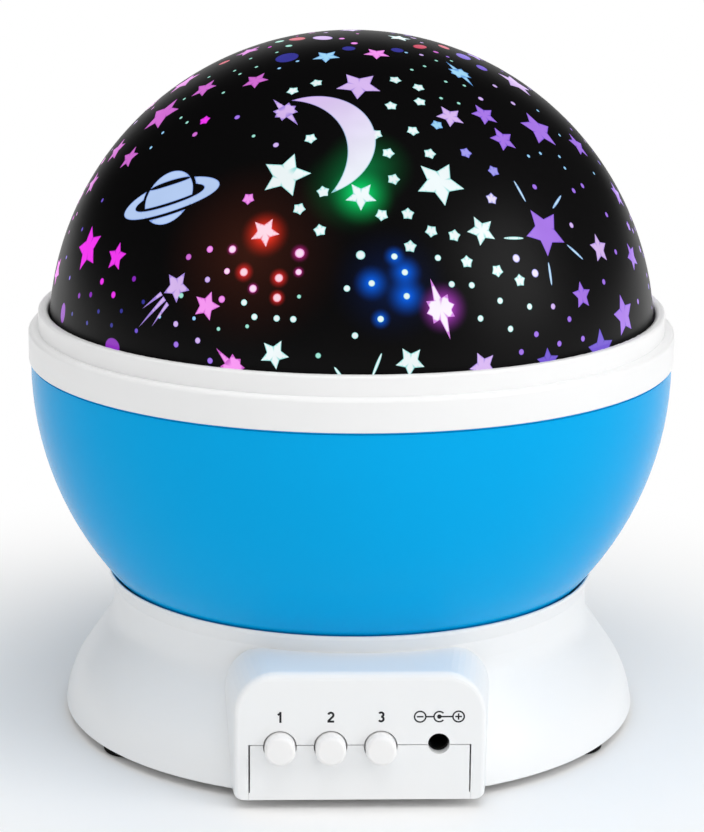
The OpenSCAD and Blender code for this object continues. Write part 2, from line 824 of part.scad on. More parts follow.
module push_button(x) {
    flange_y = -panel_reach + base_wall + 0.3;
    flange_t = 0.8;
    cap_len = flange_y + panel_reach + button_out;
    color(white_abs) translate([x, 0, button_z]) {
        translate([0, flange_y, 0]) rotate([90, 0, 0]) rotate_extrude($fn = 64) difference() {
            union() {
                slab2(0, button_r, 0, cap_len);
                slab2(0, button_r + 0.7, -flange_t, 0);
            }
            round_off([button_r, cap_len], 0.75, 1, 1);
        }
        block([-stem_w2, flange_y + 0.2, -stem_w2], [stem_w2, switch_front + 4, stem_w2]);
    }
}

module dc_jack() {
    body_z = [board_top, jack_z + 3.2];
    color(rubber_black) difference() {
        block([jack_x - jack_w2, jack_front, body_z[0]],
            [jack_x + jack_w2, jack_front + jack_len, body_z[1]]);
        translate([jack_x, jack_front, jack_z]) rotate([-90, 0, 0]) {
            translate([0, 0, -thru]) cylinder(h = thru + jack_entry, r = jack_bore_r, $fn = 64);
            translate([0, 0, jack_entry - 0.1]) cylinder(h = 6.1, r = jack_chamber_r, $fn = 64);
        }
    }
}

// Centre pin of the jack. It ends behind the entry bore.
module jack_contact() {
    color(brass) translate([jack_x, jack_front + jack_entry + 1.5, jack_z]) rotate([-90, 0, 0])
        cylinder(h = 4.5, r = 0.55, $fn = 32);
}

// ---------------------------------------------------------------- lamp post

module spindle_post() {
    color(acetal) difference() {
        union() {
            tube(post_flange_z, deck_under, post_flange_r);
            tube(post_flange_z, post_top, post_r);
        }
        tube(post_flange_z - thru, post_top + thru, post_bore);
        // groove of the retaining clip
        tube(clip_z - 0.05, clip_z + clip_t + 0.05, post_r + thru, post_r - 0.8);
        for (i = [0:2])
            rotate(i * 120 + 90) translate([post_screw_ring, 0, 0]) {
                tube(post_flange_z - thru, post_flange_z + 0.7, 1.8);
                tube(post_flange_z, deck_under + thru, 1.1);
            }
    }
}

module post_screws() {
    color(steel) for (i = [0:2])
        rotate(i * 120 + 90) translate([post_screw_ring, 0, post_flange_z + 0.7])
            screw(0.85, 2.6, 1.6, 0.6);
}

module thrust_washer() {
    color(acetal) tube(deck_z, washer_top, 11, post_r + 0.15);
}

// A clip pushed on sideways into the post's groove, above the bush
module retaining_clip() {
    color(steel) difference() {
        tube(clip_z, clip_z + clip_t, 8.5, post_r - 0.8 + snug);
        block([-4, 0, clip_z - 1], [4, 10, clip_z + 2]);
    }
}

module led_holder() {
    color(white_abs) difference() {
        union() {
            tube(post_top, holder_top, 10);
            tube(post_top - 6, post_top + 1, post_r + 1.6);
        }
        tube(post_top - 7, post_top, post_r + snug);
        tube(post_top - thru, holder_top + thru, post_bore);
    }
}

module led_board() {
    color(white_abs) difference() {
        tube(holder_top, lamp_z, 9);
        tube(holder_top - thru, lamp_z + thru, 1.6);
    }
}

// A 5 mm lamp with its flange, place by place round the board
module lamp(place) {
    rotate(place * 90 + 45) translate([lamp_ring, 0, 0]) {
        tube(lamp_z, lamp_z + 1, lamp_r + 0.4);
        rotate_extrude($fn = 64) {
            slab2(0, lamp_r, lamp_z + 0.5, lamp_lens_z);
            intersection() {
                translate([0, lamp_lens_z]) circle(r = lamp_r);
                slab2(0, lamp_r, lamp_lens_z, lamp_lens_z + lamp_r);
            }
        }
    }
}

module led_red() {
    color("red") lamp(0);
}

module led_green() {
    color("lime") lamp(1);
}

module led_blue() {
    color("blue") lamp(2);
}

module led_white() {
    color("white") lamp(3);
}

// ---------------------------------------------------------------- wiring

// Five leads from the lamp board, down the post, over the battery box and down to the board
module led_wires() {
    color("red") for (i = [0:4]) {
        strand = i - 2;
        lane = 20.4 + strand;
        pad = 8.6 + 1.4 * strand;
        sweep(eased([[0, strand, holder_top - 0.1], [0, strand, wire_z], [lane, strand, wire_z],
            [lane, -38, wire_z], [pad, -42.4, 13], [pad, -42.4, board_top + 0.05]], 0.5), wire_r);
    }
}

// Two leads from the motor's underside to the board
module motor_wires() {
    color("orange") for (i = [0, 1])
        sweep(eased([[-3 + i * 2, -37, motor_bottom - 0.05], [-3 + i * 2, -37, 5.6],
            [-6 + i * 2, -44, 5.2], [-6 + i * 2, -44, board_top - board_t - 0.05]], 0.5), wire_r);
}

// Two leads from the battery contacts to the board
module battery_wires() {
    color("black") for (s = [-1, 1])
        sweep(eased([[s * 20, bay_mid - bay_half - bay_wall - 0.1, 8], [s * 20, -14.6, 8],
            [s * 19, -30, 5.2], [s * 12, -44.5, 5.2], [s * 12, -44.5, board_top - board_t - 0.05]],
            0.5), wire_r);
}

// ---------------------------------------------------------------- what is drawn

base_housing();
base_cover();
rubber_feet();
cover_screws();
control_board();
board_parts();
board_screws();
push_switch(button_x[0]);  // switch_1
push_switch(button_x[1]);  // switch_2
push_switch(button_x[2]);  // switch_3
dc_jack();
jack_contact();
drive_motor();
motor_screws();
spindle_post();
post_screws();
thrust_washer();
retaining_clip();
led_holder();
led_board();
led_red();
led_green();
led_blue();
led_white();
led_wires();
motor_wires();
battery_wires();
battery_contacts();
battery_springs();
aaa_cells();
bowl_shell();
bowl_gear();
hub_bush();
gear_screws();
drive_pinion();
motor_shaft();
collar_ring();
star_dome();
snap_ring();
push_button(button_x[0]);  // button_1
push_button(button_x[1]);  // button_2
push_button(button_x[2]);  // button_3
battery_door();
door_screw();
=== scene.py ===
"""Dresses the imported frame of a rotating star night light.

The frame holds the moulded base, the turning bowl, the stepped collar, the clear dome and the works inside them.
This script gives each of them its finish, adds the dome's printed star sky and the panel's small printed marks,
and sets the light, the floor and the camera. All lengths are in metres, in the frame's own axes: the panel faces
-Y and the light turns about Z.
"""

import logging
import math
import random
from collections.abc import Callable, Iterable, Sequence
from dataclasses import dataclass, field
from enum import Enum

import bpy
import numpy as np
from mathutils import Matrix, Vector
from mathutils.geometry import delaunay_2d_cdt
from mathutils.kdtree import KDTree


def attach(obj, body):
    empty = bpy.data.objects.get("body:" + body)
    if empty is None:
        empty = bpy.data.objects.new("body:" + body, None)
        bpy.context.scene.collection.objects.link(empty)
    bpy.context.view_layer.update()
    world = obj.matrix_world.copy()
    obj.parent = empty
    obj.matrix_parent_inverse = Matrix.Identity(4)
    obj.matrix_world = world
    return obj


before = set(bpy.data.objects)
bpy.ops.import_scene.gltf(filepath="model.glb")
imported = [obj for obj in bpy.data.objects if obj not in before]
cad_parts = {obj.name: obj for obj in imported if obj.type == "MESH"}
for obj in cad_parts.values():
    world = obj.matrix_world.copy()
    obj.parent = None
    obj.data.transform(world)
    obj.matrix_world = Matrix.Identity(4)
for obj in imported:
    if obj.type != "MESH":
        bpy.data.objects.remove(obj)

LOG = logging.getLogger("night_light")
MM = 0.001
BLACK, WHITE = (0.0, 0.0, 0.0, 1.0), (1.0, 1.0, 1.0, 1.0)

# Depths of the finishes' bumps.
FINE_BUMP, SKIN_BUMP, TRACK_BUMP, RUBBER_BUMP = 0.01 * MM, 0.02 * MM, 0.04 * MM, 0.06 * MM
# Distance in millimetres below which two points of a flat outline are one.
WELD = 1e-5

Colour = tuple[float, float, float, float]
Point = tuple[float, float]


def tint(red: float, green: float, blue: float) -> Colour:
    """Gives a colour for a shader socket from display values.

    Args:
        red: Red as shown on a screen, 0 to 255.
        green: Green as shown on a screen, 0 to 255.
        blue: Blue as shown on a screen, 0 to 255.

    Returns:
        The linear colour with full alpha.
    """
    parts = []
    for value in (red, green, blue):
        c = value / 255
        parts.append(c / 12.92 if c <= 0.04045 else ((c + 0.055) / 1.055) ** 2.4)
    return (parts[0], parts[1], parts[2], 1.0)


# ------------------------------------------------------------------ node graphs


@dataclass
class Graph:
    """Adds nodes to one node tree and wires them.

    Attributes:
        tree: The node tree that is being filled.
    """

    tree: bpy.types.NodeTree

    def feed(self, socket: bpy.types.NodeSocket, value: object) -> None:
        """Links an output to a socket, or sets the socket's own value.

        Args:
            socket: The input that takes the value.
            value: Another node's output, or a plain number, vector or colour.
        """
        if isinstance(value, bpy.types.NodeSocket):
            self.tree.links.new(value, socket)
        else:
            socket.default_value = value

    def add(self, kind: str, inputs: dict | None = None, **settings: object) -> bpy.types.Node:
        """Adds one shader node.

        Args:
            kind: The node's type without its "ShaderNode" start.
            inputs: Values or outputs for its inputs, by name or number.
            **settings: Properties of the node, set before its inputs.

        Returns:
            The new node.
        """
        node = self.tree.nodes.new("ShaderNode" + kind)
        for name, value in settings.items():
            setattr(node, name, value)
        for key, value in (inputs or {}).items():
            self.feed(node.inputs[key], value)
        return node

    def math(self, operation: str, a: object, b: object = 0.0, clamp: bool = False) -> bpy.types.NodeSocket:
        """Adds a sum of two numbers.

        Args:
            operation: The Math node's operation.
            a: First number or output.
            b: Second number or output.
            clamp: Whether the result is held between 0 and 1.

        Returns:
            The result's output.
        """
        return self.add("Math", {0: a, 1: b}, operation=operation, use_clamp=clamp).outputs[0]

    def blend(self, factor: object, a: object, b: object) -> bpy.types.NodeSocket:
        """Adds a mix of two colours, where the factor is the share of the second one."""
        return self.add("Mix", {0: factor, 6: a, 7: b}, data_type="RGBA").outputs[2]

    def scaled(self, vector: object, scale: object) -> bpy.types.NodeSocket:
        """Adds a vector or a colour times a number."""
        return self.add("VectorMath", {0: vector, "Scale": scale}, operation="SCALE").outputs[0]

    def remap(self, value: object, low: float, high: float, to_low: float = 0.0,
              to_high: float = 1.0) -> bpy.types.NodeSocket:
        """Adds a change of range that eases in and out.

        Args:
            value: The number to change.
            low: Its value that gives to_low.
            high: Its value that gives to_high.
            to_low: Result at the low end.
            to_high: Result at the high end.

        Returns:
            The new number's output.
        """
        inputs = {0: value, 1: low, 2: high, 3: to_low, 4: to_high}
        return self.add("MapRange", inputs, interpolation_type="SMOOTHSTEP").outputs[0]

    def place(self) -> bpy.types.NodeSocket:
        """Gives the point on the object, in the frame's own axes."""
        return self.add("TexCoord").outputs["Object"]

    def part(self, vector: object, axis: str) -> bpy.types.NodeSocket:
        """Gives one part of a vector, "X", "Y" or "Z"."""
        return self.add("SeparateXYZ", {0: vector}).outputs[axis]

    def noise(self, place: object, scale: float, detail: float = 2.0, rough: float = 0.5) -> bpy.types.NodeSocket:
        """Gives even noise around one half, with features of about 1/scale metres."""
        node = self.add("TexNoise", {"Vector": place, "Scale": scale, "Detail": detail, "Roughness": rough})
        return node.outputs["Fac"]

    def use(self, group: bpy.types.NodeTree, inputs: dict) -> bpy.types.Node:
        """Places a shader node group.

        Args:
            group: The group's own tree.
            inputs: Values or outputs for its inputs, by name.

        Returns:
            The group's node.
        """
        node = self.tree.nodes.new("ShaderNodeGroup")
        node.node_tree = group
        for key, value in inputs.items():
            self.feed(node.inputs[key], value)
        return node

    def moulded(self, colour: object, tone: float, roughness: float, spread: float, grain: float,
                marks: float) -> bpy.types.Node:
        """Places the moulded surface.

        Args:
            colour: Its colour or output.
            tone: How much the colour varies, as a share.
            roughness: Middle roughness.
            spread: How much the roughness varies.
            grain: Strength of the fine grain.
            marks: Strength of the handling marks.

        Returns:
            The group's node.
        """
        return self.use(moulded_surface(), {"Colour": colour, "Tone": tone, "Roughness": roughness,
                                            "Spread": spread, "Grain": grain, "Marks": marks})

    def bump(self, height: object, depth: float, strength: float) -> bpy.types.NodeSocket:
        """Adds a bump of some depth in metres and gives its normal."""
        return self.add("Bump", {"Height": height, "Distance": depth, "Strength": strength}).outputs[0]

    def shaded(self, skin: bpy.types.Node, more: dict) -> bpy.types.NodeSocket:
        """Adds the shader of a surface.

        Args:
            skin: The surface group that gives its colour and roughness.
            more: The shader's other inputs.

        Returns:
            The shader's output.
        """
        base = {"Base Color": skin.outputs["Colour"], "Roughness": skin.outputs["Roughness"]}
        return self.add("BsdfPrincipled", base | more).outputs[0]


class Socket(Enum):
    """Kinds of socket on a node group."""

    NUMBER = "NodeSocketFloat"
    COLOUR = "NodeSocketColor"
    VECTOR = "NodeSocketVector"


def shared_group(name: str, inputs: Sequence[tuple[str, Socket, object]], outputs: Sequence[tuple[str, Socket]],
                 fill: Callable[[Graph, dict, dict], None]) -> bpy.types.NodeTree:
    """Gives a shader node group, which is built on first use.

    Args:
        name: The group's name.
        inputs: Name, kind and usual value of each input.
        outputs: Name and kind of each output.
        fill: Takes the graph, the inputs' outputs by name and the sockets to feed by name, and adds the nodes.

    Returns:
        The group.
    """
    group = bpy.data.node_groups.get(name)
    if group is not None:
        return group
    group = bpy.data.node_groups.new(name, "ShaderNodeTree")
    for label, kind, usual in inputs:
        socket = group.interface.new_socket(name=label, in_out="INPUT", socket_type=kind.value)
        socket.default_value = usual
    for label, kind in outputs:
        group.interface.new_socket(name=label, in_out="OUTPUT", socket_type=kind.value)
    entry, end = group.nodes.new("NodeGroupInput"), group.nodes.new("NodeGroupOutput")
    given = {label: entry.outputs[label] for label, _, _ in inputs}
    wanted = {label: end.inputs[label] for label, _ in outputs}
    fill(Graph(group), given, wanted)
    return group


def moulded_surface() -> bpy.types.NodeTree:
    """Gives the group for moulded parts: cloudy tone, satin patches, fine grain and handling marks.

    Returns:
        The group.
    """

    def fill(g: Graph, given: dict, wanted: dict) -> None:
        """Adds the group's nodes.

        Args:
            g: The group's graph.
            given: Outputs of the group's inputs, by name.
            wanted: Sockets to feed, by name.
        """
        place = g.place()
        cloud = g.math("SUBTRACT", g.noise(place, 24.0, 2.0), 0.5)
        level = g.math("ADD", g.math("MULTIPLY", cloud, given["Tone"]), 1.0)
        g.feed(wanted["Colour"], g.scaled(given["Colour"], level))
        patch = g.math("SUBTRACT", g.noise(place, 90.0, 3.0, 0.6), 0.5)
        warped = g.add("VectorMath", {0: place, 1: (1.0, 1.0, 0.16)}, operation="MULTIPLY").outputs[0]
        scratch = g.add("TexVoronoi", {"Vector": warped, "Scale": 260.0, "Randomness": 1.0},
                        feature="DISTANCE_TO_EDGE").outputs["Distance"]
        line = g.remap(scratch, 0.0, 0.012, 1.0, 0.0)
        rare = g.remap(g.noise(place, 60.0, 1.0), 0.6, 0.72)
        mark = g.math("MULTIPLY", g.math("MULTIPLY", line, rare), given["Marks"])
        rough = g.math("ADD", given["Roughness"], g.math("MULTIPLY", patch, given["Spread"]))
        g.feed(wanted["Roughness"], g.math("ADD", rough, g.math("MULTIPLY", mark, 0.3), clamp=True))
        grain = g.math("MULTIPLY", g.noise(place, 2600.0, 2.0), given["Grain"])
        g.feed(wanted["Height"], g.math("SUBTRACT", grain, g.math("MULTIPLY", mark, 0.6)))

    return shared_group(
        "Moulded surface",
        [("Colour", Socket.COLOUR, (0.8, 0.8, 0.8, 1.0)), ("Tone", Socket.NUMBER, 0.04),
         ("Roughness", Socket.NUMBER, 0.3), ("Spread", Socket.NUMBER, 0.1), ("Grain", Socket.NUMBER, 0.3),
         ("Marks", Socket.NUMBER, 0.2)],
        [("Colour", Socket.COLOUR), ("Roughness", Socket.NUMBER), ("Height", Socket.NUMBER)], fill)


def drawn_metal() -> bpy.types.NodeTree:
    """Gives the group for metal parts: fine draw lines and dull spots.

    Returns:
        The group.
    """

    def fill(g: Graph, given: dict, wanted: dict) -> None:
        """Adds the group's nodes.

        Args:
            g: The group's graph.
            given: Outputs of the group's inputs, by name.
            wanted: Sockets to feed, by name.
        """
        place = g.place()
        drawn = g.add("VectorMath", {0: place, 1: given["Lines"]}, operation="MULTIPLY").outputs[0]
        lines = g.math("SUBTRACT", g.noise(drawn, 1500.0, 3.0, 0.6), 0.5)
        dull = g.remap(g.noise(place, 420.0, 3.0), 0.5, 0.75)
        shade = g.math("SUBTRACT", 1.0, g.math("MULTIPLY", dull, 0.22))
        g.feed(wanted["Colour"], g.scaled(given["Colour"], shade))
        rough = g.math("ADD", given["Roughness"], g.math("MULTIPLY", lines, 0.25))
        g.feed(wanted["Roughness"], g.math("ADD", rough, g.math("MULTIPLY", dull, 0.2), clamp=True))
        g.feed(wanted["Height"], lines)

    return shared_group(
        "Drawn metal",
        [("Colour", Socket.COLOUR, (0.7, 0.7, 0.7, 1.0)), ("Roughness", Socket.NUMBER, 0.3),
         ("Lines", Socket.VECTOR, (1.0, 1.0, 0.1))],
        [("Colour", Socket.COLOUR), ("Roughness", Socket.NUMBER), ("Height", Socket.NUMBER)], fill)


def lamp_pool() -> bpy.types.NodeTree:
    """Gives the group that adds one lamp's pool of light to a colour, around a point of the dome.

    Returns:
        The group.
    """

    def fill(g: Graph, given: dict, wanted: dict) -> None:
        """Adds the group's nodes.

        Args:
            g: The group's graph.
            given: Outputs of the group's inputs, by name.
            wanted: Sockets to feed, by name.
        """
        far = g.add("VectorMath", {0: g.place(), 1: given["Centre"]}, operation="DISTANCE").outputs["Value"]
        share = g.math("SUBTRACT", 1.0, g.math("DIVIDE", far, given["Reach"]), clamp=True)
        share = g.math("POWER", share, given["Fall"])
        pool = g.scaled(given["Colour"], share)
        g.feed(wanted["Colour"], g.add("VectorMath", {0: given["Below"], 1: pool}, operation="ADD").outputs[0])

    return shared_group(
        "Lamp pool",
        [("Below", Socket.COLOUR, (0.0, 0.0, 0.0, 1.0)), ("Colour", Socket.COLOUR, (1.0, 1.0, 1.0, 1.0)),
         ("Centre", Socket.VECTOR, (0.0, 0.0, 0.0)), ("Reach", Socket.NUMBER, 0.02), ("Fall", Socket.NUMBER, 2.0)],
        [("Colour", Socket.COLOUR)], fill)


def board_tracks() -> bpy.types.NodeTree:
    """Gives the group for circuit boards: copper tracks under the lacquer, as a mask.

    Returns:
        The group.
    """

    def fill(g: Graph, given: dict, wanted: dict) -> None:
        """Adds the group's nodes.

        Args:
            g: The group's graph.
            given: Outputs of the group's inputs, by name.
            wanted: Sockets to feed, by name.
        """
        place = g.place()
        brick = g.add("TexBrick", {"Vector": place, "Scale": given["Pitch"], "Mortar Size": 0.035, "Brick Width": 0.9,
                                   "Row Height": 0.42}, offset=0.5)
        track = g.math("SUBTRACT", 1.0, brick.outputs["Fac"], clamp=True)
        keep = g.remap(g.noise(place, 160.0, 0.0), 0.46, 0.5)
        mask = g.math("MULTIPLY", g.math("SUBTRACT", 1.0, track), keep)
        g.feed(wanted["Tracks"], mask)

    return shared_group("Board tracks", [("Pitch", Socket.NUMBER, 380.0)], [("Tracks", Socket.NUMBER)], fill)


# ------------------------------------------------------------------ finishes


@dataclass(frozen=True)
class Finish:
    """A finish, whose material is made once and then shared.

    Attributes:
        name: The material's name.
    """

    name: str

    def material(self) -> bpy.types.Material:
        """Gives the finish's material, which is made on first use.

        Returns:
            The material.
        """
        made = bpy.data.materials.get(self.name)
        if made is None:
            made = bpy.data.materials.new(self.name)
            made.use_nodes = True
            made.node_tree.nodes.clear()
            graph = Graph(made.node_tree)
            output = graph.add("OutputMaterial")
            graph.feed(output.inputs["Surface"], self.shader(graph))
        return made

    def shader(self, g: Graph) -> bpy.types.NodeSocket:
        """Adds the finish's own nodes and gives the shader's output."""
        raise NotImplementedError


@dataclass(frozen=True)
class MouldedPlastic(Finish):
    """A moulded plastic or rubber.

    Attributes:
        colour: Its colour.
        roughness: Middle roughness of the moulded skin.
        spread: How much the roughness varies over patches.
        tone: How much the colour varies, as a share.
        grain: Strength of the fine mould grain.
        marks: Strength of the handling marks.
        specular: Strength of the plain reflection, 0.5 being usual.
        bump: Depth of grain and marks.
        depth: Share of light that scatters inside the wall.
    """

    colour: Colour
    roughness: float = 0.3
    spread: float = 0.12
    tone: float = 0.03
    grain: float = 0.3
    marks: float = 0.2
    specular: float = 0.5
    bump: float = SKIN_BUMP
    depth: float = 0.0

    def shader(self, g: Graph) -> bpy.types.NodeSocket:
        """Adds the moulded surface and its shader.

        Args:
            g: The material's graph.

        Returns:
            The shader's output.
        """
        skin = g.moulded(self.colour, self.tone, self.roughness, self.spread, self.grain, self.marks)
        more = {"Normal": g.bump(skin.outputs["Height"], self.bump, 0.5), "Specular IOR Level": self.specular}
        if self.depth:
            more |= {"Subsurface Weight": self.depth, "Subsurface Radius": (1.2 * MM, 1.2 * MM, 1.1 * MM),
                     "Subsurface Scale": 1.0}
        return g.shaded(skin, more)


@dataclass(frozen=True)
class BareMetal(Finish):
    """A drawn or plated metal.

    Attributes:
        colour: Its colour.
        roughness: Middle roughness.
        lines: Scale of the draw lines along each axis; the smallest is the way they run.
    """

    colour: Colour
    roughness: float = 0.3
    lines: tuple[float, float, float] = (1.0, 1.0, 0.1)

    def shader(self, g: Graph) -> bpy.types.NodeSocket:
        """Adds the drawn metal and its shader.

        Args:
            g: The material's graph.

        Returns:
            The shader's output.
        """
        skin = g.use(drawn_metal(), {"Colour": self.colour, "Roughness": self.roughness, "Lines": self.lines})
        return g.shaded(skin, {"Metallic": 1.0, "Normal": g.bump(skin.outputs["Height"], FINE_BUMP, 0.4)})


@dataclass(frozen=True)
class CircuitBoard(Finish):
    """A lacquered circuit board.

    Attributes:
        lacquer: Colour of the lacquer.
        track: Colour where a track lies under it.
        pitch: How many track rows there are per metre, roughly.
    """

    lacquer: Colour
    track: Colour
    pitch: float = 380.0

    def shader(self, g: Graph) -> bpy.types.NodeSocket:
        """Adds the tracks, the lacquer and the shader.

        Args:
            g: The material's graph.

        Returns:
            The shader's output.
        """
        mask = g.use(board_tracks(), {"Pitch": self.pitch}).outputs["Tracks"]
        skin = g.moulded(g.blend(mask, self.lacquer, self.track), 0.08, 0.28, 0.1, 0.2, 0.0)
        return g.shaded(skin, {"Normal": g.bump(mask, TRACK_BUMP, 0.6)})


@dataclass(frozen=True)
class CellSleeve(Finish):
    """The printed sleeve and the bare ends of a row of dry cells that lie along Y.

    Attributes:
        sleeve: Main colour of the sleeve.
        band: Colour of its band.
        middle: Y of the cells' middle.
        half: Half the sleeve's length.
    """

    sleeve: Colour
    band: Colour
    middle: float
    half: float

    def shader(self, g: Graph) -> bpy.types.NodeSocket:
        """Adds the sleeve's band, the bare ends and the shader.

        Args:
            g: The material's graph.

        Returns:
            The shader's output.
        """
        place = g.place()
        along = g.part(place, "Y")
        off = g.math("ABSOLUTE", g.math("SUBTRACT", along, self.middle))
        end = g.math("GREATER_THAN", off, self.half)
        band = g.math("GREATER_THAN", g.math("SUBTRACT", along, self.middle), self.half * 0.5)
        skin = g.moulded(g.blend(band, self.sleeve, self.band), 0.1, 0.26, 0.1, 0.1, 0.4)
        bare = g.use(drawn_metal(), {"Colour": tint(205, 203, 198), "Roughness": 0.3})
        colour = g.blend(end, skin.outputs["Colour"], bare.outputs["Colour"])
        rough = g.add("Mix", {0: end, 2: skin.outputs["Roughness"], 3: bare.outputs["Roughness"]}).outputs[0]
        normal = g.bump(skin.outputs["Height"], SKIN_BUMP, 0.4)
        return g.add("BsdfPrincipled", {"Base Color": colour, "Roughness": rough, "Metallic": end,
                                        "Normal": normal}).outputs[0]


@dataclass(frozen=True)
class LampResin(Finish):
    """The clear resin of a lit lamp.

    Attributes:
        glow: Colour of its light.
        level: Strength of its light.
        low: Height at which the chip starts to glow.
        tall: Height over which the glow grows to its full strength.
    """

    glow: Colour
    level: float
    low: float
    tall: float = 6 * MM

    def shader(self, g: Graph) -> bpy.types.NodeSocket:
        """Adds the resin, whose light grows towards its tip.

        Args:
            g: The material's graph.

        Returns:
            The shader's output.
        """
        rise = g.remap(g.part(g.place(), "Z"), self.low, self.low + self.tall, 0.25, 1.0)
        skin = g.moulded(self.glow, 0.05, 0.12, 0.05, 0.1, 0.1)
        return g.shaded(skin, {"Transmission Weight": 0.3, "IOR": 1.5,
                               "Emission Color": g.scaled(self.glow[:3], rise), "Emission Strength": self.level})


@dataclass(frozen=True)
class Pool:
    """A pool of lamp light on the dome.

    Attributes:
        azimuth: Degrees to the right of the panel's direction.
        height: Degrees above the dome's centre.
        reach: Radius at which it has died away.
        colour: Colour of the light at its middle.
        fall: How fast it falls; 1 is even, 3 is a tight core.
    """

    azimuth: float
    height: float
    reach: float
    colour: Colour
    fall: float = 1.5


def pooled(g: Graph, start: object, pools: Iterable[Pool], centre: Vector, radius: float) -> object:
    """Adds a row of lamp pools to a colour.

    Args:
        g: The material's graph.
        start: The colour below the pools.
        pools: The pools to add.
        centre: The dome's centre.
        radius: The dome's radius.

    Returns:
        The colour's output.
    """
    colour = start
    for pool in pools:
        at = centre + direction(pool.azimuth, pool.height) * radius
        colour = g.use(lamp_pool(), {"Below": colour, "Colour": pool.colour, "Centre": at, "Reach": pool.reach,
                                     "Fall": pool.fall}).outputs["Colour"]
    return colour


@dataclass(frozen=True)
class DomeInk(Finish):
    """The black ink on the dome, with the glow that gathers round its lit openings.

    Attributes:
        colour: Colour of the ink.
        roughness: Middle roughness of the ink.
        centre: The dome's centre.
        radius: The dome's radius.
        glows: The glows that show on the ink.
    """

    colour: Colour
    roughness: float
    centre: Vector
    radius: float
    glows: tuple[Pool, ...]

    def shader(self, g: Graph) -> bpy.types.NodeSocket:
        """Adds the ink's skin, its glows and the shader.

        Args:
            g: The material's graph.

        Returns:
            The shader's output.
        """
        skin = g.moulded(self.colour, 0.3, self.roughness, 0.06, 0.25, 0.08)
        light = pooled(g, BLACK, self.glows, self.centre, self.radius)
        return g.shaded(skin, {"Specular IOR Level": 0.1, "Normal": g.bump(skin.outputs["Height"], FINE_BUMP, 0.4),
                               "Emission Color": light, "Emission Strength": 1.0})


@dataclass(frozen=True)
class DomeWindow(Finish):
    """The clear openings of the dome's print, lit from inside.

    Attributes:
        colour: Colour of the film where no light comes through it.
        rim_share: How much of the rim's own light shows at the very edge of an opening.
    """

    colour: Colour
    rim_share: float

    def shader(self, g: Graph) -> bpy.types.NodeSocket:
        """Adds each opening's light, its rim and the shader.

        Args:
            g: The material's graph.

        Returns:
            The shader's output.
        """
        middle = g.add("Attribute", attribute_name="middle").outputs["Color"]
        rim = g.add("Attribute", attribute_name="rim").outputs["Color"]
        core = g.add("Attribute", attribute_name="core").outputs["Fac"]
        light = g.blend(g.remap(core, 0.0, 0.9, self.rim_share, 0.0), middle, rim)
        cloud = g.remap(g.noise(g.place(), 160.0, 1.0), 0.3, 0.7, 0.93, 1.0)
        skin = g.moulded(self.colour, 0.1, 0.2, 0.06, 0.1, 0.1)
        return g.shaded(skin, {"Specular IOR Level": 0.3, "Emission Color": g.scaled(light, cloud),
                               "Emission Strength": 1.0})


@dataclass(frozen=True)
class ClearDome(Finish):
    """The clear plastic of the dome itself, with a trace of haze and a faint painted glow of lamp light in patches.

    Attributes:
        colour: Colour of the plastic.
        glow: Colour of the painted lamp light that it carries.
    """

    colour: Colour
    glow: Colour

    def shader(self, g: Graph) -> bpy.types.NodeSocket:
        """Adds the plastic's skin and the shader.

        Args:
            g: The material's graph.

        Returns:
            The shader's output.
        """
        skin = g.moulded(self.colour, 0.06, 0.25, 0.08, 0.1, 0.2)
        # Painted glow: the lamps' light is laid on the plastic as faint emission, broken into patches by noise.
        cloud = g.remap(g.noise(g.place(), 40.0, 2.0), 0.3, 0.7, 0.6, 1.0)
        return g.shaded(skin, {"Transmission Weight": 0.9, "IOR": 1.49,
                               "Emission Color": g.scaled(self.glow[:3], cloud), "Emission Strength": 0.05})


@dataclass(frozen=True)
class Floor(Finish):
    """The pale studio floor. It takes the object's shadow and turns plain white further out.

    Attributes:
        colour: Colour of the floor.
        near: Distance from the object's axis at which it starts to turn white.
        far: Distance at which it is plain white.
    """

    colour: Colour
    near: float
    far: float

    def shader(self, g: Graph) -> bpy.types.NodeSocket:
        """Adds the floor's paper, its white rim and its clear underside.

        Args:
            g: The material's graph.

        Returns:
            The shader's output.
        """
        place = g.place()
        skin = g.moulded(self.colour, 0.01, 0.8, 0.05, 0.2, 0.0)
        paper = g.add("BsdfPrincipled", {"Base Color": skin.outputs["Colour"], "Roughness": 0.85,
                                         "Specular IOR Level": 0.1}).outputs[0]
        white = g.add("Emission", {"Color": WHITE, "Strength": 1.0}).outputs[0]
        path = g.add("LightPath").outputs
        seen = g.math("MAXIMUM", path["Is Camera Ray"], g.math("MAXIMUM", path["Is Glossy Ray"],
                                                              path["Is Transmission Ray"]))
        away = g.add("VectorMath", {0: place}, operation="LENGTH").outputs["Value"]
        rim = g.math("MULTIPLY", g.remap(away, self.near, self.far), seen)
        lit = g.add("MixShader", {0: rim, 1: paper, 2: white}).outputs[0]
        clear = g.add("BsdfTransparent").outputs[0]
        under = g.add("NewGeometry").outputs["Backfacing"]
        return g.add("MixShader", {0: under, 1: lit, 2: clear}).outputs[0]


# ------------------------------------------------------------------ mesh helpers


def direction(azimuth: float, height: float) -> Vector:
    """Gives the way from the dome's centre to a point on it.

    Args:
        azimuth: Degrees to the right of the panel's direction.
        height: Degrees above the horizon.

    Returns:
        The unit vector.
    """
    a, h = math.radians(azimuth), math.radians(height)
    return Vector((math.cos(h) * math.sin(a), -math.cos(h) * math.cos(a), math.sin(h)))


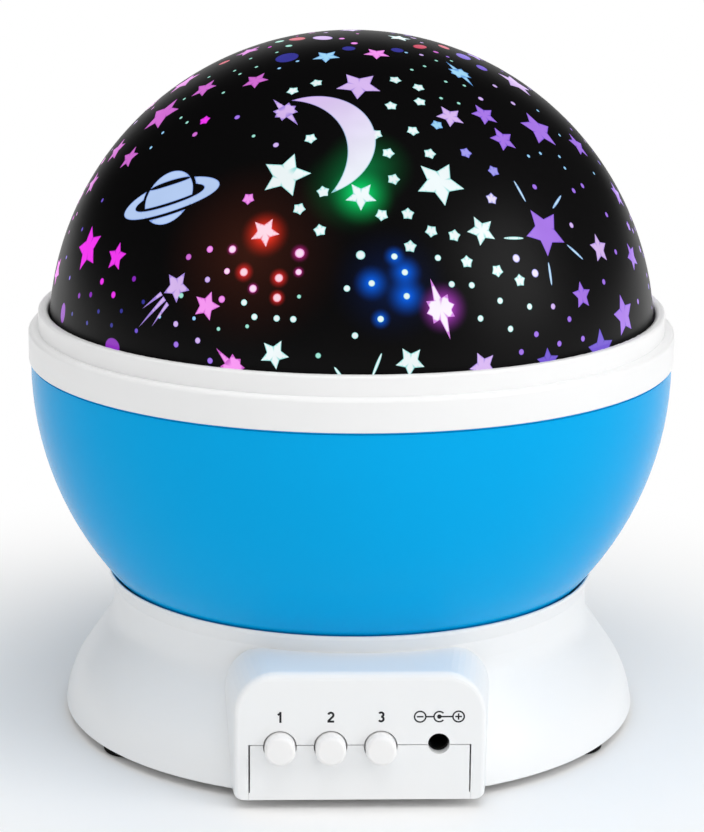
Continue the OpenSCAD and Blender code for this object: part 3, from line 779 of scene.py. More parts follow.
def new_piece(name: str, mesh: bpy.types.Mesh, body: str, finish: Finish) -> bpy.types.Object:
    """Makes a mesh into a piece of the object that rides on a body.

    Args:
        name: The piece's name.
        mesh: Its mesh, in the frame's axes.
        body: The body it rides on.
        finish: Its finish.

    Returns:
        The piece.
    """
    piece = bpy.data.objects.new(name, mesh)
    bpy.context.scene.collection.objects.link(piece)
    mesh.materials.append(finish.material())
    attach(piece, body)
    return piece


def dress(node: str, *finishes: Finish) -> bpy.types.Object:
    """Gives a frame node its finishes, in the order of its material numbers.

    Args:
        node: The node's name.
        *finishes: The finishes.

    Returns:
        The node's object.
    """
    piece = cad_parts[node]
    piece.data.materials.clear()
    for finish in finishes:
        piece.data.materials.append(finish.material())
    return piece


def islands(piece: bpy.types.Object) -> list[tuple[Vector, list[int]]]:
    """Sorts a mesh's faces into its separate solids.

    Args:
        piece: The object, whose faces may have corners of their own.

    Returns:
        Each solid's middle and the numbers of its faces, from low X to high X.
    """
    mesh = piece.data
    names: dict[tuple[int, ...], int] = {}
    same = [names.setdefault(tuple(round(c * 1e6) for c in v.co), v.index) for v in mesh.vertices]
    parent = list(range(len(mesh.vertices)))

    def root(i: int) -> int:
        """Finds the first vertex of a vertex's solid.

        Args:
            i: The vertex.

        Returns:
            The first vertex.
        """
        while parent[i] != i:
            parent[i] = parent[parent[i]]
            i = parent[i]
        return i

    for face in mesh.polygons:
        first = root(same[face.vertices[0]])
        for v in face.vertices[1:]:
            parent[root(same[v])] = first
    groups: dict[int, list[int]] = {}
    for face in mesh.polygons:
        groups.setdefault(root(same[face.vertices[0]]), []).append(face.index)
    result = []
    for faces in groups.values():
        points = np.array([mesh.polygons[i].center for i in faces])
        result.append((Vector((points.min(0) + points.max(0)) / 2), faces))
    return sorted(result, key=lambda item: tuple(item[0]))


def dress_each(node: str, finishes: Sequence[Finish], choose: Callable[[int, Vector], int]) -> bpy.types.Object:
    """Gives the separate solids of a frame node their own finishes.

    Args:
        node: The node's name.
        finishes: The finishes to choose from.
        choose: Takes a solid's number and middle, and gives the number of its finish.

    Returns:
        The node's object.
    """
    piece = dress(node, *finishes)
    for number, (middle, faces) in enumerate(islands(piece)):
        chosen = choose(number, middle)
        for i in faces:
            piece.data.polygons[i].material_index = chosen
    return piece


# ------------------------------------------------------------------ the dome's print


class Glow(Enum):
    """Lights that come through the dome's openings: an opening's middle and its rim, as display values."""

    WHITE = ((240, 250, 251), (96, 214, 208))
    FLARE = ((252, 244, 255), (205, 78, 226))
    ROSE = ((255, 218, 232), (236, 62, 92))
    BLUSH = ((255, 226, 248), (226, 66, 200))
    PINK = ((249, 152, 244), (196, 70, 196))
    ORCHID = ((213, 108, 213), (160, 66, 170))
    MAGENTA = ((246, 52, 242), (172, 22, 186))
    LILAC = ((216, 184, 241), (150, 120, 220))
    VIOLET = ((168, 118, 233), (112, 74, 214))
    INDIGO = ((116, 86, 212), (74, 58, 176))
    SKY = ((160, 216, 247), (74, 140, 220))
    TEAL = ((166, 233, 215), (62, 150, 140))
    NAVY = ((46, 46, 148), (30, 28, 104))
    PLUM = ((138, 30, 186), (90, 18, 130))
    RED = ((205, 62, 92), (140, 24, 44))
    ICE = ((182, 206, 245), (110, 146, 226))
    BEAM = ((208, 238, 252), (84, 150, 226))
    PEARL = ((238, 228, 253), (104, 112, 222))
    HAZE = ((164, 158, 240), (96, 96, 216))

    def middle(self) -> Colour:
        """Gives the light at an opening's middle."""
        return tint(*self.value[0])

    def rim(self) -> Colour:
        """Gives the light at an opening's rim."""
        return tint(*self.value[1])


# Lengths in the dome's print, in millimetres.
RIM_BAND = 0.3      # width of an opening's tinted rim
FINE_STEP = 0.8     # longest step of an opening's outline
PLUMP_SIZE = 2      # size up to which a star is plump and plain
SMALL_STAR = 1.25   # size of the small stars that are placed one by one
STREAK = 0.28       # half the width of a streak of light
# Shares of a motif's size.
WAIST = 0.5         # radius of a star's inner corners
PLUMP_WAIST = 0.72  # the same for a plump star
HOLLOW_OFF = 0.65   # distance of a crescent's hollow from its middle
HOLLOW_SIZE = 1.19  # radius of the hollow
BURST_RADII = (1.0, 0.34, 0.52, 0.36, 0.48, 0.36, 0.52, 0.34)   # radii round half of a burst
# Distance between the rows of an even triangle mesh, as a share of its spacing.
ROW_SHARE = 0.866


class Shape(Enum):
    """Shapes in the dome's print."""

    STAR = "star"
    BURST = "burst"
    DOT = "dot"
    OVAL = "oval"
    CRESCENT = "crescent"
    PLANET = "planet"
    COMET = "comet"


def ring_of(radii: Sequence[float], turn: float = 0.0) -> list[Point]:
    """Gives a closed outline from radii at even angles.

    Args:
        radii: Radius at each corner.
        turn: Angle of the first corner from straight up, in degrees.

    Returns:
        The corners, anticlockwise.
    """
    first, count = math.radians(90 + turn), len(radii)
    return [(r * math.cos(first + math.tau * i / count), r * math.sin(first + math.tau * i / count))
            for i, r in enumerate(radii)]


def oval(wide: float, high: float, turn: float = 0.0, middle: Point = (0.0, 0.0), count: int = 40) -> list[Point]:
    """Gives an ellipse's outline.

    Args:
        wide: Half its width.
        high: Half its height.
        turn: Degrees that it is turned by.
        middle: Its middle.
        count: Number of corners.

    Returns:
        The corners, anticlockwise.
    """
    c, s = math.cos(math.radians(turn)), math.sin(math.radians(turn))
    points = []
    for i in range(count):
        u, v = wide * math.cos(math.tau * i / count), high * math.sin(math.tau * i / count)
        points.append((middle[0] + u * c - v * s, middle[1] + u * s + v * c))
    return points


def arc(middle: Point, radius: float, start: float, end: float) -> list[Point]:
    """Gives points along a circle.

    Args:
        middle: The circle's middle.
        radius: Its radius.
        start: Angle of the first point, in degrees from the right.
        end: Angle of the last one.

    Returns:
        The points, about 12 degrees apart.
    """
    steps = max(2, round(abs(end - start) / 12))
    turns = [math.radians(start + (end - start) * i / steps) for i in range(steps + 1)]
    return [(middle[0] + radius * math.cos(t), middle[1] + radius * math.sin(t)) for t in turns]


def pen_stroke(path: Sequence[Point], wide: float) -> list[Point]:
    """Gives the outline of a pen's stroke.

    Args:
        path: The points that the pen's middle follows.
        wide: Width of the pen.

    Returns:
        The outline, anticlockwise.
    """
    right, left = [], []
    for i, (u, v) in enumerate(path):
        before, after = path[max(0, i - 1)], path[min(len(path) - 1, i + 1)]
        along = Vector((after[0] - before[0], after[1] - before[1])).normalized() * wide / 2
        right.append((u + along.y, v - along.x))
        left.append((u - along.y, v + along.x))
    return right + left[::-1]


def stepped(loop: Sequence[Point], longest: float) -> list[Point]:
    """Divides the sides of an outline.

    Args:
        loop: The outline's corners.
        longest: The longest step, in millimetres.

    Returns:
        Its corners and the points between them.
    """
    points: list[Point] = []
    for (u, v), (u2, v2) in zip(loop, [*loop[1:], loop[0]]):
        steps = max(1, math.ceil(math.hypot(u2 - u, v2 - v) / longest))
        points += [(u + (u2 - u) * k / steps, v + (v2 - v) * k / steps) for k in range(steps)]
    return points


def holds(loop: np.ndarray, spot: np.ndarray) -> bool:
    """Says whether an outline holds a spot.

    Args:
        loop: The outline's points.
        spot: The spot.

    Returns:
        True if it lies inside.
    """
    after = np.roll(loop, -1, axis=0)
    rising = (loop[:, 1] > spot[1]) != (after[:, 1] > spot[1])
    a, b = loop[rising], after[rising]
    level = a[:, 0] + (spot[1] - a[:, 1]) / (b[:, 1] - a[:, 1]) * (b[:, 0] - a[:, 0])
    return bool(np.count_nonzero(level > spot[0]) % 2)


@dataclass(frozen=True)
class Motif:
    """One shape in the dome's print.

    Attributes:
        shape: What it is.
        azimuth: Degrees to the right of the panel's direction.
        height: Degrees above the dome's centre.
        size: Outer radius in millimetres.
        turn: Degrees that it is turned by, anticlockwise.
        glow: The light that comes through it.
        flat: Height of an oval as a share of its width.
    """

    shape: Shape
    azimuth: float
    height: float
    size: float
    turn: float = 0.0
    glow: Glow = Glow.VIOLET
    flat: float = 1.0

    @property
    def hollow(self) -> tuple[Point, float]:
        """Middle and radius of the disc that is cut out of a crescent."""
        away, off = math.radians(self.turn), HOLLOW_OFF * self.size
        return (off * math.cos(away), off * math.sin(away)), HOLLOW_SIZE * self.size

    def loops(self) -> list[list[Point]]:
        """Gives the outlines that bound it.

        Returns:
            The outlines, in millimetres in its own plane.
        """
        s, t = self.size, self.turn
        if self.shape is Shape.STAR:
            return [ring_of([s, s * (WAIST if s > PLUMP_SIZE else PLUMP_WAIST)] * 5, t)]
        if self.shape is Shape.BURST:
            return [ring_of([s * share for share in BURST_RADII] * 2, t)]
        if self.shape is Shape.DOT:
            return [ring_of([s] * 14, t)]
        if self.shape is Shape.OVAL:
            return [oval(s, s * self.flat, t, count=24)]
        if self.shape is Shape.CRESCENT:
            middle, radius = self.hollow
            return [oval(s, s, count=84), oval(radius, radius, 0.0, middle, 84)]
        if self.shape is Shape.PLANET:
            return [oval(s * 0.5, s * 0.5, t, count=40), oval(s * 0.56, s * 0.56, t, count=40),
                    oval(s, s * 0.3, t, count=56), oval(s * 0.72, s * 0.17, t, count=48),
                    oval(s * 1.05, s * 0.35, t, count=56), oval(s * 0.67, s * 0.12, t, count=48),
                    oval(s * 0.42, s * 0.045, t, self.shifted(0.0, s * 0.27), 40)]
        head = ring_of([s * 0.42, s * 0.21] * 5, t)
        tails = []
        for side, long, wide in ((-0.17, 1.25, 0.06), (0.0, 1.6, 0.07), (0.17, 1.2, 0.06)):
            tails.append([self.shifted(s * u, s * v) for u, v in
                          ((-0.46, side + wide), (-long, side * 1.7), (-0.46, side - wide))])
        return [head, *tails]

    def shifted(self, u: float, v: float) -> Point:
        """Gives a point of the motif after its turn."""
        c, s = math.cos(math.radians(self.turn)), math.sin(math.radians(self.turn))
        return (u * c - v * s, u * s + v * c)

    def seen_at(self, way: Sequence[float]) -> Point:
        """Gives a spot's place in the motif's own plane.

        Args:
            way: The spot, as a way from the dome's centre.

        Returns:
            Its place to the right and upwards, as shares of the dome's radius.
        """
        a, h = math.radians(self.azimuth), math.radians(self.height)
        u = way[0] * math.cos(a) + way[1] * math.sin(a)
        v = -way[0] * math.sin(h) * math.sin(a) + way[1] * math.sin(h) * math.cos(a) + way[2] * math.cos(h)
        return float(u), float(v)

    def is_clear(self, inside: frozenset[int], u: float, v: float) -> bool:
        """Says whether a spot is free of ink.

        Args:
            inside: Numbers of this motif's outlines that hold the spot.
            u: The spot's place to the right in the motif's own plane.
            v: Its place upwards.

        Returns:
            True if light comes through there.
        """
        if self.shape is Shape.CRESCENT:
            return inside == {0}
        if self.shape is Shape.PLANET:
            c, s = math.cos(math.radians(self.turn)), math.sin(math.radians(self.turn))
            front = -u * s + v * c < 0
            ring = 2 in inside and 3 not in inside
            ball = 0 in inside and 6 not in inside
            return (ring and (front or 1 not in inside)) or (ball and (not front or 4 not in inside or 5 in inside))
        return bool(inside)

    def fillers(self) -> list[Point]:
        """Gives the points that its inside is meshed with, so that its rim can be told from its middle.

        Returns:
            The points, in millimetres in its own plane.
        """
        if self.shape is Shape.DOT:
            return [(0.0, 0.0), *ring_of([self.size * 0.6] * 7, self.turn)]
        if self.shape is Shape.OVAL and self.flat < 0.5:
            return [self.shifted(self.size * x, 0.0) for x in (-0.85, -0.65, -0.4, -0.2, 0.0, 0.2, 0.4, 0.65, 0.85)]
        found = [(0.0, 0.0)] if self.shape in (Shape.STAR, Shape.BURST, Shape.OVAL) else []
        if self.shape is Shape.STAR and self.size > PLUMP_SIZE:
            found += [(u * share, v * share) for u, v in self.loops()[0][::2] for share in (0.55, 0.7, 0.82, 0.91)]
        loops = [np.array(stepped(loop, FINE_STEP)) for loop in self.loops()]
        starts = np.concatenate(loops)
        runs = np.concatenate([np.roll(loop, -1, axis=0) for loop in loops]) - starts
        lengths = np.linalg.norm(runs, axis=1)
        across = np.stack([-runs[:, 1], runs[:, 0]], 1) / lengths[:, None]
        band = min(RIM_BAND, 0.25 * self.size)
        for spot in np.concatenate([starts + runs / 2 + across * side for side in (band, -band)]):
            share = np.clip(((spot - starts) * runs).sum(1) / lengths ** 2, 0.0, 1.0)
            near = np.linalg.norm(spot - starts - runs * share[:, None], axis=1).min()
            inside = frozenset(k for k, loop in enumerate(loops) if holds(loop, spot))
            if near > 0.9 * band and self.is_clear(inside, *spot):
                found.append((float(spot[0]), float(spot[1])))
        return found

    def lights(self, u: float, v: float) -> tuple[Colour, Colour]:
        """Gives the light at a spot of its opening.

        Args:
            u: The spot's place to the right, in millimetres in the motif's own plane.
            v: Its place upwards.

        Returns:
            The colour at the middle of the opening there, and the colour at its rim.
        """
        if self.shape is not Shape.CRESCENT:
            return self.glow.middle(), self.glow.rim()
        share = min(1.0, max(0.0, 0.42 + 0.62 * (u - v) / (2 * self.size)))
        ends = ((Glow.LILAC.middle(), Glow.WHITE.middle()), (Glow.LILAC.rim(), Glow.WHITE.rim()))
        middle, rim = [tuple(a + (b - a) * share for a, b in zip(first, last)) for first, last in ends]
        return middle, rim

    @property
    def room(self) -> float:
        """Radius in millimetres that it needs to itself."""
        return self.size * (1.65 if self.shape is Shape.COMET else 1.0)


@dataclass
class DomePrint:
    """The dome's printed star sky: a thin black film with clear openings, and the lit film in them.

    Attributes:
        radius: Outer radius of the clear dome.
        centre: The dome's centre.
        lowest: Height of the print's edge above the centre, in degrees.
        pitch: Spacing of the film's own points, in millimetres.
        ink_in: How far the ink's inner side stands off the dome.
        ink_out: How far its outer side does.
        light_in: How far the lit film's inner side stands off the dome.
        light_out: How far its outer side does.
        star_every: Dome area for each scattered star, in square millimetres.
        small_every: Dome area for each scattered small star.
        dot_every: Dome area for each scattered dot.
        margin: Degrees between the print's edge and the lowest scattered motif.
        tries: Places that are tried for each scattered motif.
        seed: Start of the scatter.
        front: Azimuths and top height between which the layout is full, so that nothing is scattered there.
        corners: Number of corners of the print's edge.
        edge_gap: Room in millimetres between the print's edge and the film's own points.
        point_gap: Room between an outline and the film's own points.
    """

    radius: float = 60.9 * MM
    centre: Vector = field(default_factory=lambda: Vector((0.0, 0.0, 78.4 * MM)))
    lowest: float = 1.7
    pitch: float = 2.1
    ink_in: float = 0.006 * MM
    ink_out: float = 0.05 * MM
    light_in: float = 0.004 * MM
    light_out: float = 0.03 * MM
    star_every: float = 260.0
    small_every: float = 230.0
    dot_every: float = 66.0
    margin: float = 2.5
    tries: int = 12
    seed: int = 11
    front: tuple[float, float, float] = (-78.0, 74.0, 70.0)
    corners: int = 360
    edge_gap: float = 0.6
    point_gap: float = 0.75

    def laid_out(self) -> list[Motif]:
        """Gives the motifs that are placed one by one, seen from the panel's side.

        Returns:
            The motifs.
        """
        motifs = [Motif(Shape.CRESCENT, -13.2, 47.7, 12.1, 207), Motif(Shape.PLANET, -45, 34, 11.3, 24, Glow.ICE),
                  Motif(Shape.COMET, -36, 18.5, 7.2, 48, Glow.LILAC),
                  Motif(Shape.BURST, -23.1, 54.6, 4.8, 48, Glow.LILAC),
                  Motif(Shape.BURST, 48.8, 64.5, 4.7, -12, Glow.SKY),
                  Motif(Shape.BURST, 13.9, 16.5, 5.8, 15, Glow.FLARE),
                  Motif(Shape.BURST, -23, 5.9, 4.7, 47, Glow.PINK)]
        stars = {
            Glow.WHITE: ((-17.5, 40.6, 4.8, -9), (-0.3, 36.9, 3, 35), (17.6, 39.1, 4.8, 36), (24.4, 29.6, 3, 17),
                         (8.1, 7.8, 2.8, 31), (-15.5, 8.7, 2.8, -26), (66, 81, 2.6, 0)),
            Glow.ROSE: ((-19.6, 29.6, 2.9, -22),),
            Glow.PINK: ((-29, 15.9, 2.8, -14), (13, 74, 2.7, 21)),
            Glow.ORCHID: ((-63.8, 57.7, 3, 14), (-70.6, 49.4, 4.7, 16), (-80.3, 39.2, 3.2, 27),
                          (-67.8, 39.3, 2.8, 16), (-81.8, 31.5, 2.9, 27), (-43, 62.2, 2.8, -1), (-84, 70, 2.9, 20)),
            Glow.MAGENTA: ((-64.9, 21.3, 4.7, 25), (-53.5, 21.5, 2.9, 4)),
            Glow.LILAC: ((-0.1, 62.5, 4.4, 31), (27.6, 53.2, 2.9, 11), (54.4, 23, 3, -6), (21.3, 6.2, 2.8, 24),
                         (78, 58, 4.3, 10)),
            Glow.VIOLET: ((39.9, 52.8, 2.9, 2), (40.3, 46.8, 3, 2), (57.2, 47.5, 4.6, -16), (72.1, 41.8, 3.2, -19),
                          (39.7, 28.1, 4.9, 21), (45.1, 15.8, 2.7, -2), (58, 10.1, 4.2, 5), (68.6, 19.2, 3, 12),
                          (78, 30, 3.2, -20)),
            Glow.INDIGO: ((34.7, 5.5, 2.7, 0), (48.8, 5.4, 4.2, 0)),
            Glow.SKY: ((-18.7, 72.5, 2.8, -22),)}
        for glow, places in stars.items():
            motifs += [Motif(Shape.STAR, azimuth, height, size, turn, glow) for azimuth, height, size, turn in places]
        small_stars = {
            Glow.WHITE: ((15, 64), (22.7, 61.4), (20.2, 57.4), (10, 56.6), (14.4, 50.3), (6.6, 45.5), (17.1, 45.1),
                         (7.1, 40.1), (3.9, 33.3), (9.3, 33.4), (13.7, 30.1), (18.3, 29.1), (9.1, 27.5), (20, 24.3),
                         (26, 22.3), (30.5, 20.2), (-13.3, 48.5), (-13.2, 34.2), (-8.5, 30.4),
                         (-8.5, 37.6), (-16.6, 62.9), (-24.2, 60.2), (4.1, 49.7)),
            Glow.PEARL: ((28.9, 35.3),), Glow.PINK: ((-24.7, 35.5),), Glow.MAGENTA: ((-48.4, 50.5),),
            Glow.HAZE: ((26.8, 44.8), (32.2, 40.6)), Glow.SKY: ((22.1, 51.4),)}
        for glow, places in small_stars.items():
            motifs += [Motif(Shape.STAR, azimuth, height, SMALL_STAR, azimuth * 7.0, glow)
                       for azimuth, height in places]
        dots = (
            (Glow.WHITE, 0.6, ((-21.7, 17.1), (-19.5, 14.8), (-15.4, 14.8), (-12.4, 14.8), (-1.5, 12.3), (-3, 20.3),
                               (1.5, 21.2), (3, 15.1), (20.3, 20.2), (16.4, 20.6), (25.6, 17.1), (31.7, 15.5),
                               (21.3, 14.4), (27.1, 12.1), (5.9, 25.8), (7.7, 23), (7.8, 18.9), (14.3, 25.3))),
            (Glow.ROSE, 0.8, ((-22.5, 22.3), (-15.6, 21.7), (-15.6, 18.3))),
            (Glow.WHITE, 0.85, ((-0.5, 26.1),)), (Glow.BLUSH, 0.9, ((-12.1, 26.2),)),
            (Glow.BLUSH, 0.74, ((-25.6, 26.1), (-20.3, 19.6))), (Glow.PEARL, 0.8, ((30.7, 24.1), (34.3, 21.1))),
            (Glow.BLUSH, 0.6, ((-25.9, 22.2), (-12, 22.9))),
            (Glow.PINK, 0.66, ((-26.1, 17.3), (-30.4, 25.7))),
            (Glow.ORCHID, 0.6, ((-48, 47.1), (-34.7, 23.9), (58.3, 72.5))),
            (Glow.MAGENTA, 0.66, ((-56, 16.6), (-51.5, 14.9))),
            (Glow.LILAC, 0.56, ((-22, 46.7), (-29.6, 20.4), (-30, 9.8), (-34.9, 12.1), (58.9, 59.3), (44.3, 56.8),
                                (57.3, 54.3), (37.1, 14.9), (47.9, 28.3))),
            (Glow.VIOLET, 0.56, ((-37.7, 52.2), (-34.4, 8.6), (-27.3, 6.6), (40.7, 12.2), (41.8, 36.5),
                                 (54.2, 34.3), (58.9, 34.7), (63.2, 28.2), (52.7, 17.1), (60.6, 21.4), (32.5, 10.6),
                                 (37.6, 8.3), (43.7, 8.3), (29, 7.9), (65.8, 11.2))),
            (Glow.INDIGO, 0.45, ((-68, 30.2), (-71.7, 23.8), (-75.8, 17.6), (-69.9, 14.8), (-43.8, 9.7))),
            (Glow.SKY, 0.38, ((-31.2, 13.5), (-61.2, 46), (-61.1, 42.5), (-38.7, 12.9), (34.3, 73.8), (45.3, 42.6),
                              (50.2, 42.7), (57, 41.2), (56, 38.8), (69, 35.9), (65.7, 45.1), (67.1, 51.2),
                              (-38.3, 66.8), (-32.9, 69.9))),
            (Glow.TEAL, 0.52, ((-7.8, 8.8), (-34.6, 17.1))),
            (Glow.TEAL, 0.38, ((-29.2, 48.3), (-11.6, 18.7), (-20.7, 13.1), (-26.1, 12.2), (-51.6, 57.7), (-68, 54.1),
                               (-59.1, 50), (-54.6, 49.3), (-71.8, 60.6), (-61.2, 64), (-55.1, 63.4), (46, 69.5),
                               (34.3, 68), (25.7, 67.1), (56.1, 68.6), (36.4, 62.5), (43.1, 60.8), (28.6, 58),
                               (33.8, 56.3), (-55.4, 72.3), (-65.4, 68.5), (-51.7, 66.3))),
            (Glow.NAVY, 0.45, ((-43.1, 14.9), (-55.2, 11.3), (-48.4, 12.5), (-65.2, 9), (-58.6, 8.6), (-50.6, 9.6))),
            (Glow.PLUM, 0.56, ((-46.7, 18.5), (-63.4, 12.7), (-58.9, 13.7))))
        for glow, size, places in dots:
            motifs += [Motif(Shape.DOT, azimuth, height, size, 0, glow) for azimuth, height in places]
        for glow, azimuth, height, size, turn in (
                (Glow.BEAM, 37, 36.1, 2.3, -82), (Glow.BEAM, 46.5, 33, 2.3, 28), (Glow.BEAM, 46.2, 23.5, 2.4, -45),
                (Glow.BEAM, 37.9, 20.6, 2.2, 84), (Glow.WHITE, 31.3, 27.7, 2.2, -6), (Glow.WHITE, 2.3, 7.3, 2.3, 68),
                (Glow.WHITE, -4.1, 5.7, 1.6, 126), (Glow.WHITE, -5.8, 4.7, 1.2, 170)):
            motifs.append(Motif(Shape.OVAL, azimuth, height, size, turn, glow, STREAK / size))
        for glow, azimuth, height, size, turn, flat in (
                (Glow.NAVY, -42.1, 70.9, 2.4, 0, 0.9), (Glow.NAVY, -6, 76.6, 1.3, 0, 0.9),
                (Glow.NAVY, 30.5, 75.2, 1.3, 0, 0.9), (Glow.RED, -75, 79, 2.2, 20, 0.6),
                (Glow.RED, -82, 65, 1.3, 60, 0.7), (Glow.RED, 56, 75.6, 1.9, 0, 0.6),
                (Glow.RED, 82, 73, 1.7, 20, 0.7), (Glow.INDIGO, 74.9, 68.8, 2.2, 0, 0.7),
                (Glow.INDIGO, 70, 64.5, 1.5, 0, 0.8), (Glow.LILAC, -48, 82, 2.4, 0, 0.6),
                (Glow.TEAL, -84, 76, 1.2, 30, 0.7), (Glow.TEAL, -58.4, 75.6, 0.9, 0, 0.7),
                (Glow.PLUM, -70.2, 8.2, 2.0, 90, 0.7), (Glow.PLUM, -49.8, 5.9, 2.2, 0, 0.75)):
            motifs.append(Motif(Shape.OVAL, azimuth, height, size, turn, glow, flat))
        return motifs

    def scattered(self, placed: list[Motif]) -> list[Motif]:
        """Fills the rest of the dome with small stars and dots.

        Args:
            placed: The motifs that are already there.

        Returns:
            The new motifs.
        """
        dice = random.Random(self.seed)
        ball = self.radius / MM
        area = math.tau * ball * ball * (1 - math.sin(math.radians(self.lowest)))
        taken = [(direction(m.azimuth, m.height), m.room) for m in placed]
        added: list[Motif] = []

        def drop(shape: Shape, sizes: tuple[float, float], space: float, wanted: int) -> None:
            """Adds motifs of one shape where there is room for them.

            Args:
                shape: The shape.
                sizes: Its smallest and largest size.
                space: Millimetres to keep free round each.
                wanted: Number of motifs.
            """
            for _ in range(wanted * self.tries):
                if wanted == 0:
                    return
                height = math.degrees(math.asin(dice.uniform(math.sin(math.radians(self.lowest + self.margin)), 1)))
                azimuth, size, turn = dice.uniform(-180, 180), dice.uniform(*sizes), dice.uniform(0, 72)
                glow = dice.choice(self.lamps_near(azimuth))
                way = direction(azimuth, height)
                full = self.front[0] < azimuth < self.front[1] and height < self.front[2]
                if not full and all(way.dot(other) < math.cos((size + room + space) / ball) for other, room in taken):
                    taken.append((way, size))
                    added.append(Motif(shape, azimuth, height, size, turn, glow))
                    wanted -= 1

        share = 1 - (self.front[1] - self.front[0]) / 360 * math.sin(math.radians(self.front[2]))
        drop(Shape.STAR, (2.5, 4.6), 1.8, round(area * share / self.star_every))
        drop(Shape.STAR, (0.95, 1.2), 1.4, round(area * share / self.small_every))
        drop(Shape.DOT, (0.36, 0.7), 1.0, round(area * share / self.dot_every))
        return added

    @staticmethod
    def lamps_near(azimuth: float) -> tuple[Glow, ...]:
        """Gives the lights of the openings that face a direction.

        Args:
            azimuth: Degrees to the right of the panel's direction.

        Returns:
            The lights to choose from.
        """
        if -150 < azimuth < -60:
            return Glow.ORCHID, Glow.MAGENTA, Glow.PINK, Glow.LILAC
        if 50 < azimuth < 130:
            return Glow.VIOLET, Glow.INDIGO, Glow.LILAC, Glow.VIOLET
        if abs(azimuth) >= 130:
            return Glow.WHITE, Glow.SKY, Glow.ICE, Glow.TEAL, Glow.LILAC
        return Glow.LILAC, Glow.SKY, Glow.TEAL, Glow.PINK

    def map_point(self, motif: Motif, u: float, v: float) -> tuple[float, float]:
        """Lays a point of a motif on the dome and gives its place on the flat map.

        Args:
            motif: The motif.
            u: Millimetres to the right of the motif's middle.
            v: Millimetres above it.

        Returns:
            The place on a map that keeps each distance from the dome's top.
        """
        ball = self.radius / MM
        a, h = math.radians(motif.azimuth), math.radians(motif.height)
        out = direction(motif.azimuth, motif.height)
        right = Vector((math.cos(a), math.sin(a), 0.0))
        up = Vector((-math.sin(h) * math.sin(a), math.sin(h) * math.cos(a), math.cos(h)))
        far = math.hypot(u, v)
        if far > 1e-9:
            out = out * math.cos(far / ball) + (right * u + up * v) * (math.sin(far / ball) / far)
        polar, around = math.acos(max(-1.0, min(1.0, out.z))), math.atan2(out.y, out.x)
        return (ball * polar * math.cos(around), ball * polar * math.sin(around))

    def triangulated(self, motifs: list[Motif]) -> tuple[list, list, list]:
        """Cuts the flat map into triangles along every outline.

        Args:
            motifs: All motifs.

        Returns:
            The map's points, its triangles, and for each triangle the numbers of the outlines that hold it.
        """
        ball = self.radius / MM
        edge = ball * math.radians(90 - self.lowest)
        points: list[Vector] = []
        faces: list[list[int]] = []
        for i in range(self.corners):
            turn = math.tau * i / self.corners
            points.append(Vector((edge * math.cos(turn), edge * math.sin(turn))))
        faces.append(list(range(self.corners)))
        free: list[Vector] = []
        for motif in motifs:
            for loop in motif.loops():
                start = len(points)
                points += [Vector(self.map_point(motif, u, v)) for u, v in stepped(loop, FINE_STEP)]
                faces.append(list(range(start, len(points))))
            free += [Vector(self.map_point(motif, u, v)) for u, v in motif.fillers()]
        tree = KDTree(len(points) + len(free))
        for i, p in enumerate(points + free):
            tree.insert((p.x, p.y, 0.0), i)
        tree.balance()
        rows = int(edge / (self.pitch * ROW_SHARE)) + 1
        for row in range(-rows, rows + 1):
            for col in range(-rows, rows + 1):
                x = (col + 0.5 * (row % 2)) * self.pitch
                y = row * self.pitch * ROW_SHARE
                if math.hypot(x, y) < edge - self.edge_gap and tree.find((x, y, 0.0))[2] > self.point_gap:
                    free.append(Vector((x, y)))
        cut = delaunay_2d_cdt(points + free, [], faces, 0, WELD, True)
        return cut[0], cut[2], cut[5]

    def build(self, ink: Finish, light: Finish) -> list[bpy.types.Object]:
        """Builds the ink film and the lit film.

        Args:
            ink: The ink's finish.
            light: The openings' finish.

        Returns:
            The two pieces.
        """
        placed = self.laid_out()
        motifs = placed + self.scattered(placed)
        owner: list[tuple[int, int]] = [(-1, 0)]
        for number, motif in enumerate(motifs):
            owner += [(number, k) for k in range(len(motif.loops()))]
        flat, triangles, held = self.triangulated(motifs)
        ball = self.radius / MM
        ways = np.empty((len(flat), 3))
        for i, p in enumerate(flat):
            polar, around = math.hypot(p.x, p.y) / ball, math.atan2(p.y, p.x)
            ways[i] = (math.sin(polar) * math.cos(around), math.sin(polar) * math.sin(around), math.cos(polar))
        closed: list[tuple[int, int, int]] = []
        opened: list[tuple[int, int, int]] = []
        owners: list[Motif] = []
        for triangle, ids in zip(triangles, held):
            if 0 not in ids:
                continue
            a, b, c = triangle
            if (flat[b] - flat[a]).cross(flat[c] - flat[a]) < 0:
                b, c = c, b
            hit = self.opening_at(motifs, owner, ids, ways[[a, b, c]].mean(0))
            if hit is None:
                closed.append((a, b, c))
            else:
                opened.append((a, b, c))
                owners.append(hit)
        film = thin_film("dome_ink", self.centre, ways, closed, self.radius + self.ink_in, self.radius + self.ink_out)
        glass = thin_film("dome_windows", self.centre, ways, opened, self.radius + self.light_in,
                          self.radius + self.light_out, owners)
        LOG.info("dome print: %d motifs, %d ink and %d lit triangles", len(motifs), len(closed), len(opened))
        return [new_piece("dome_ink", film, "dome_cap", ink),
                new_piece("dome_windows", glass, "dome_cap", light)]

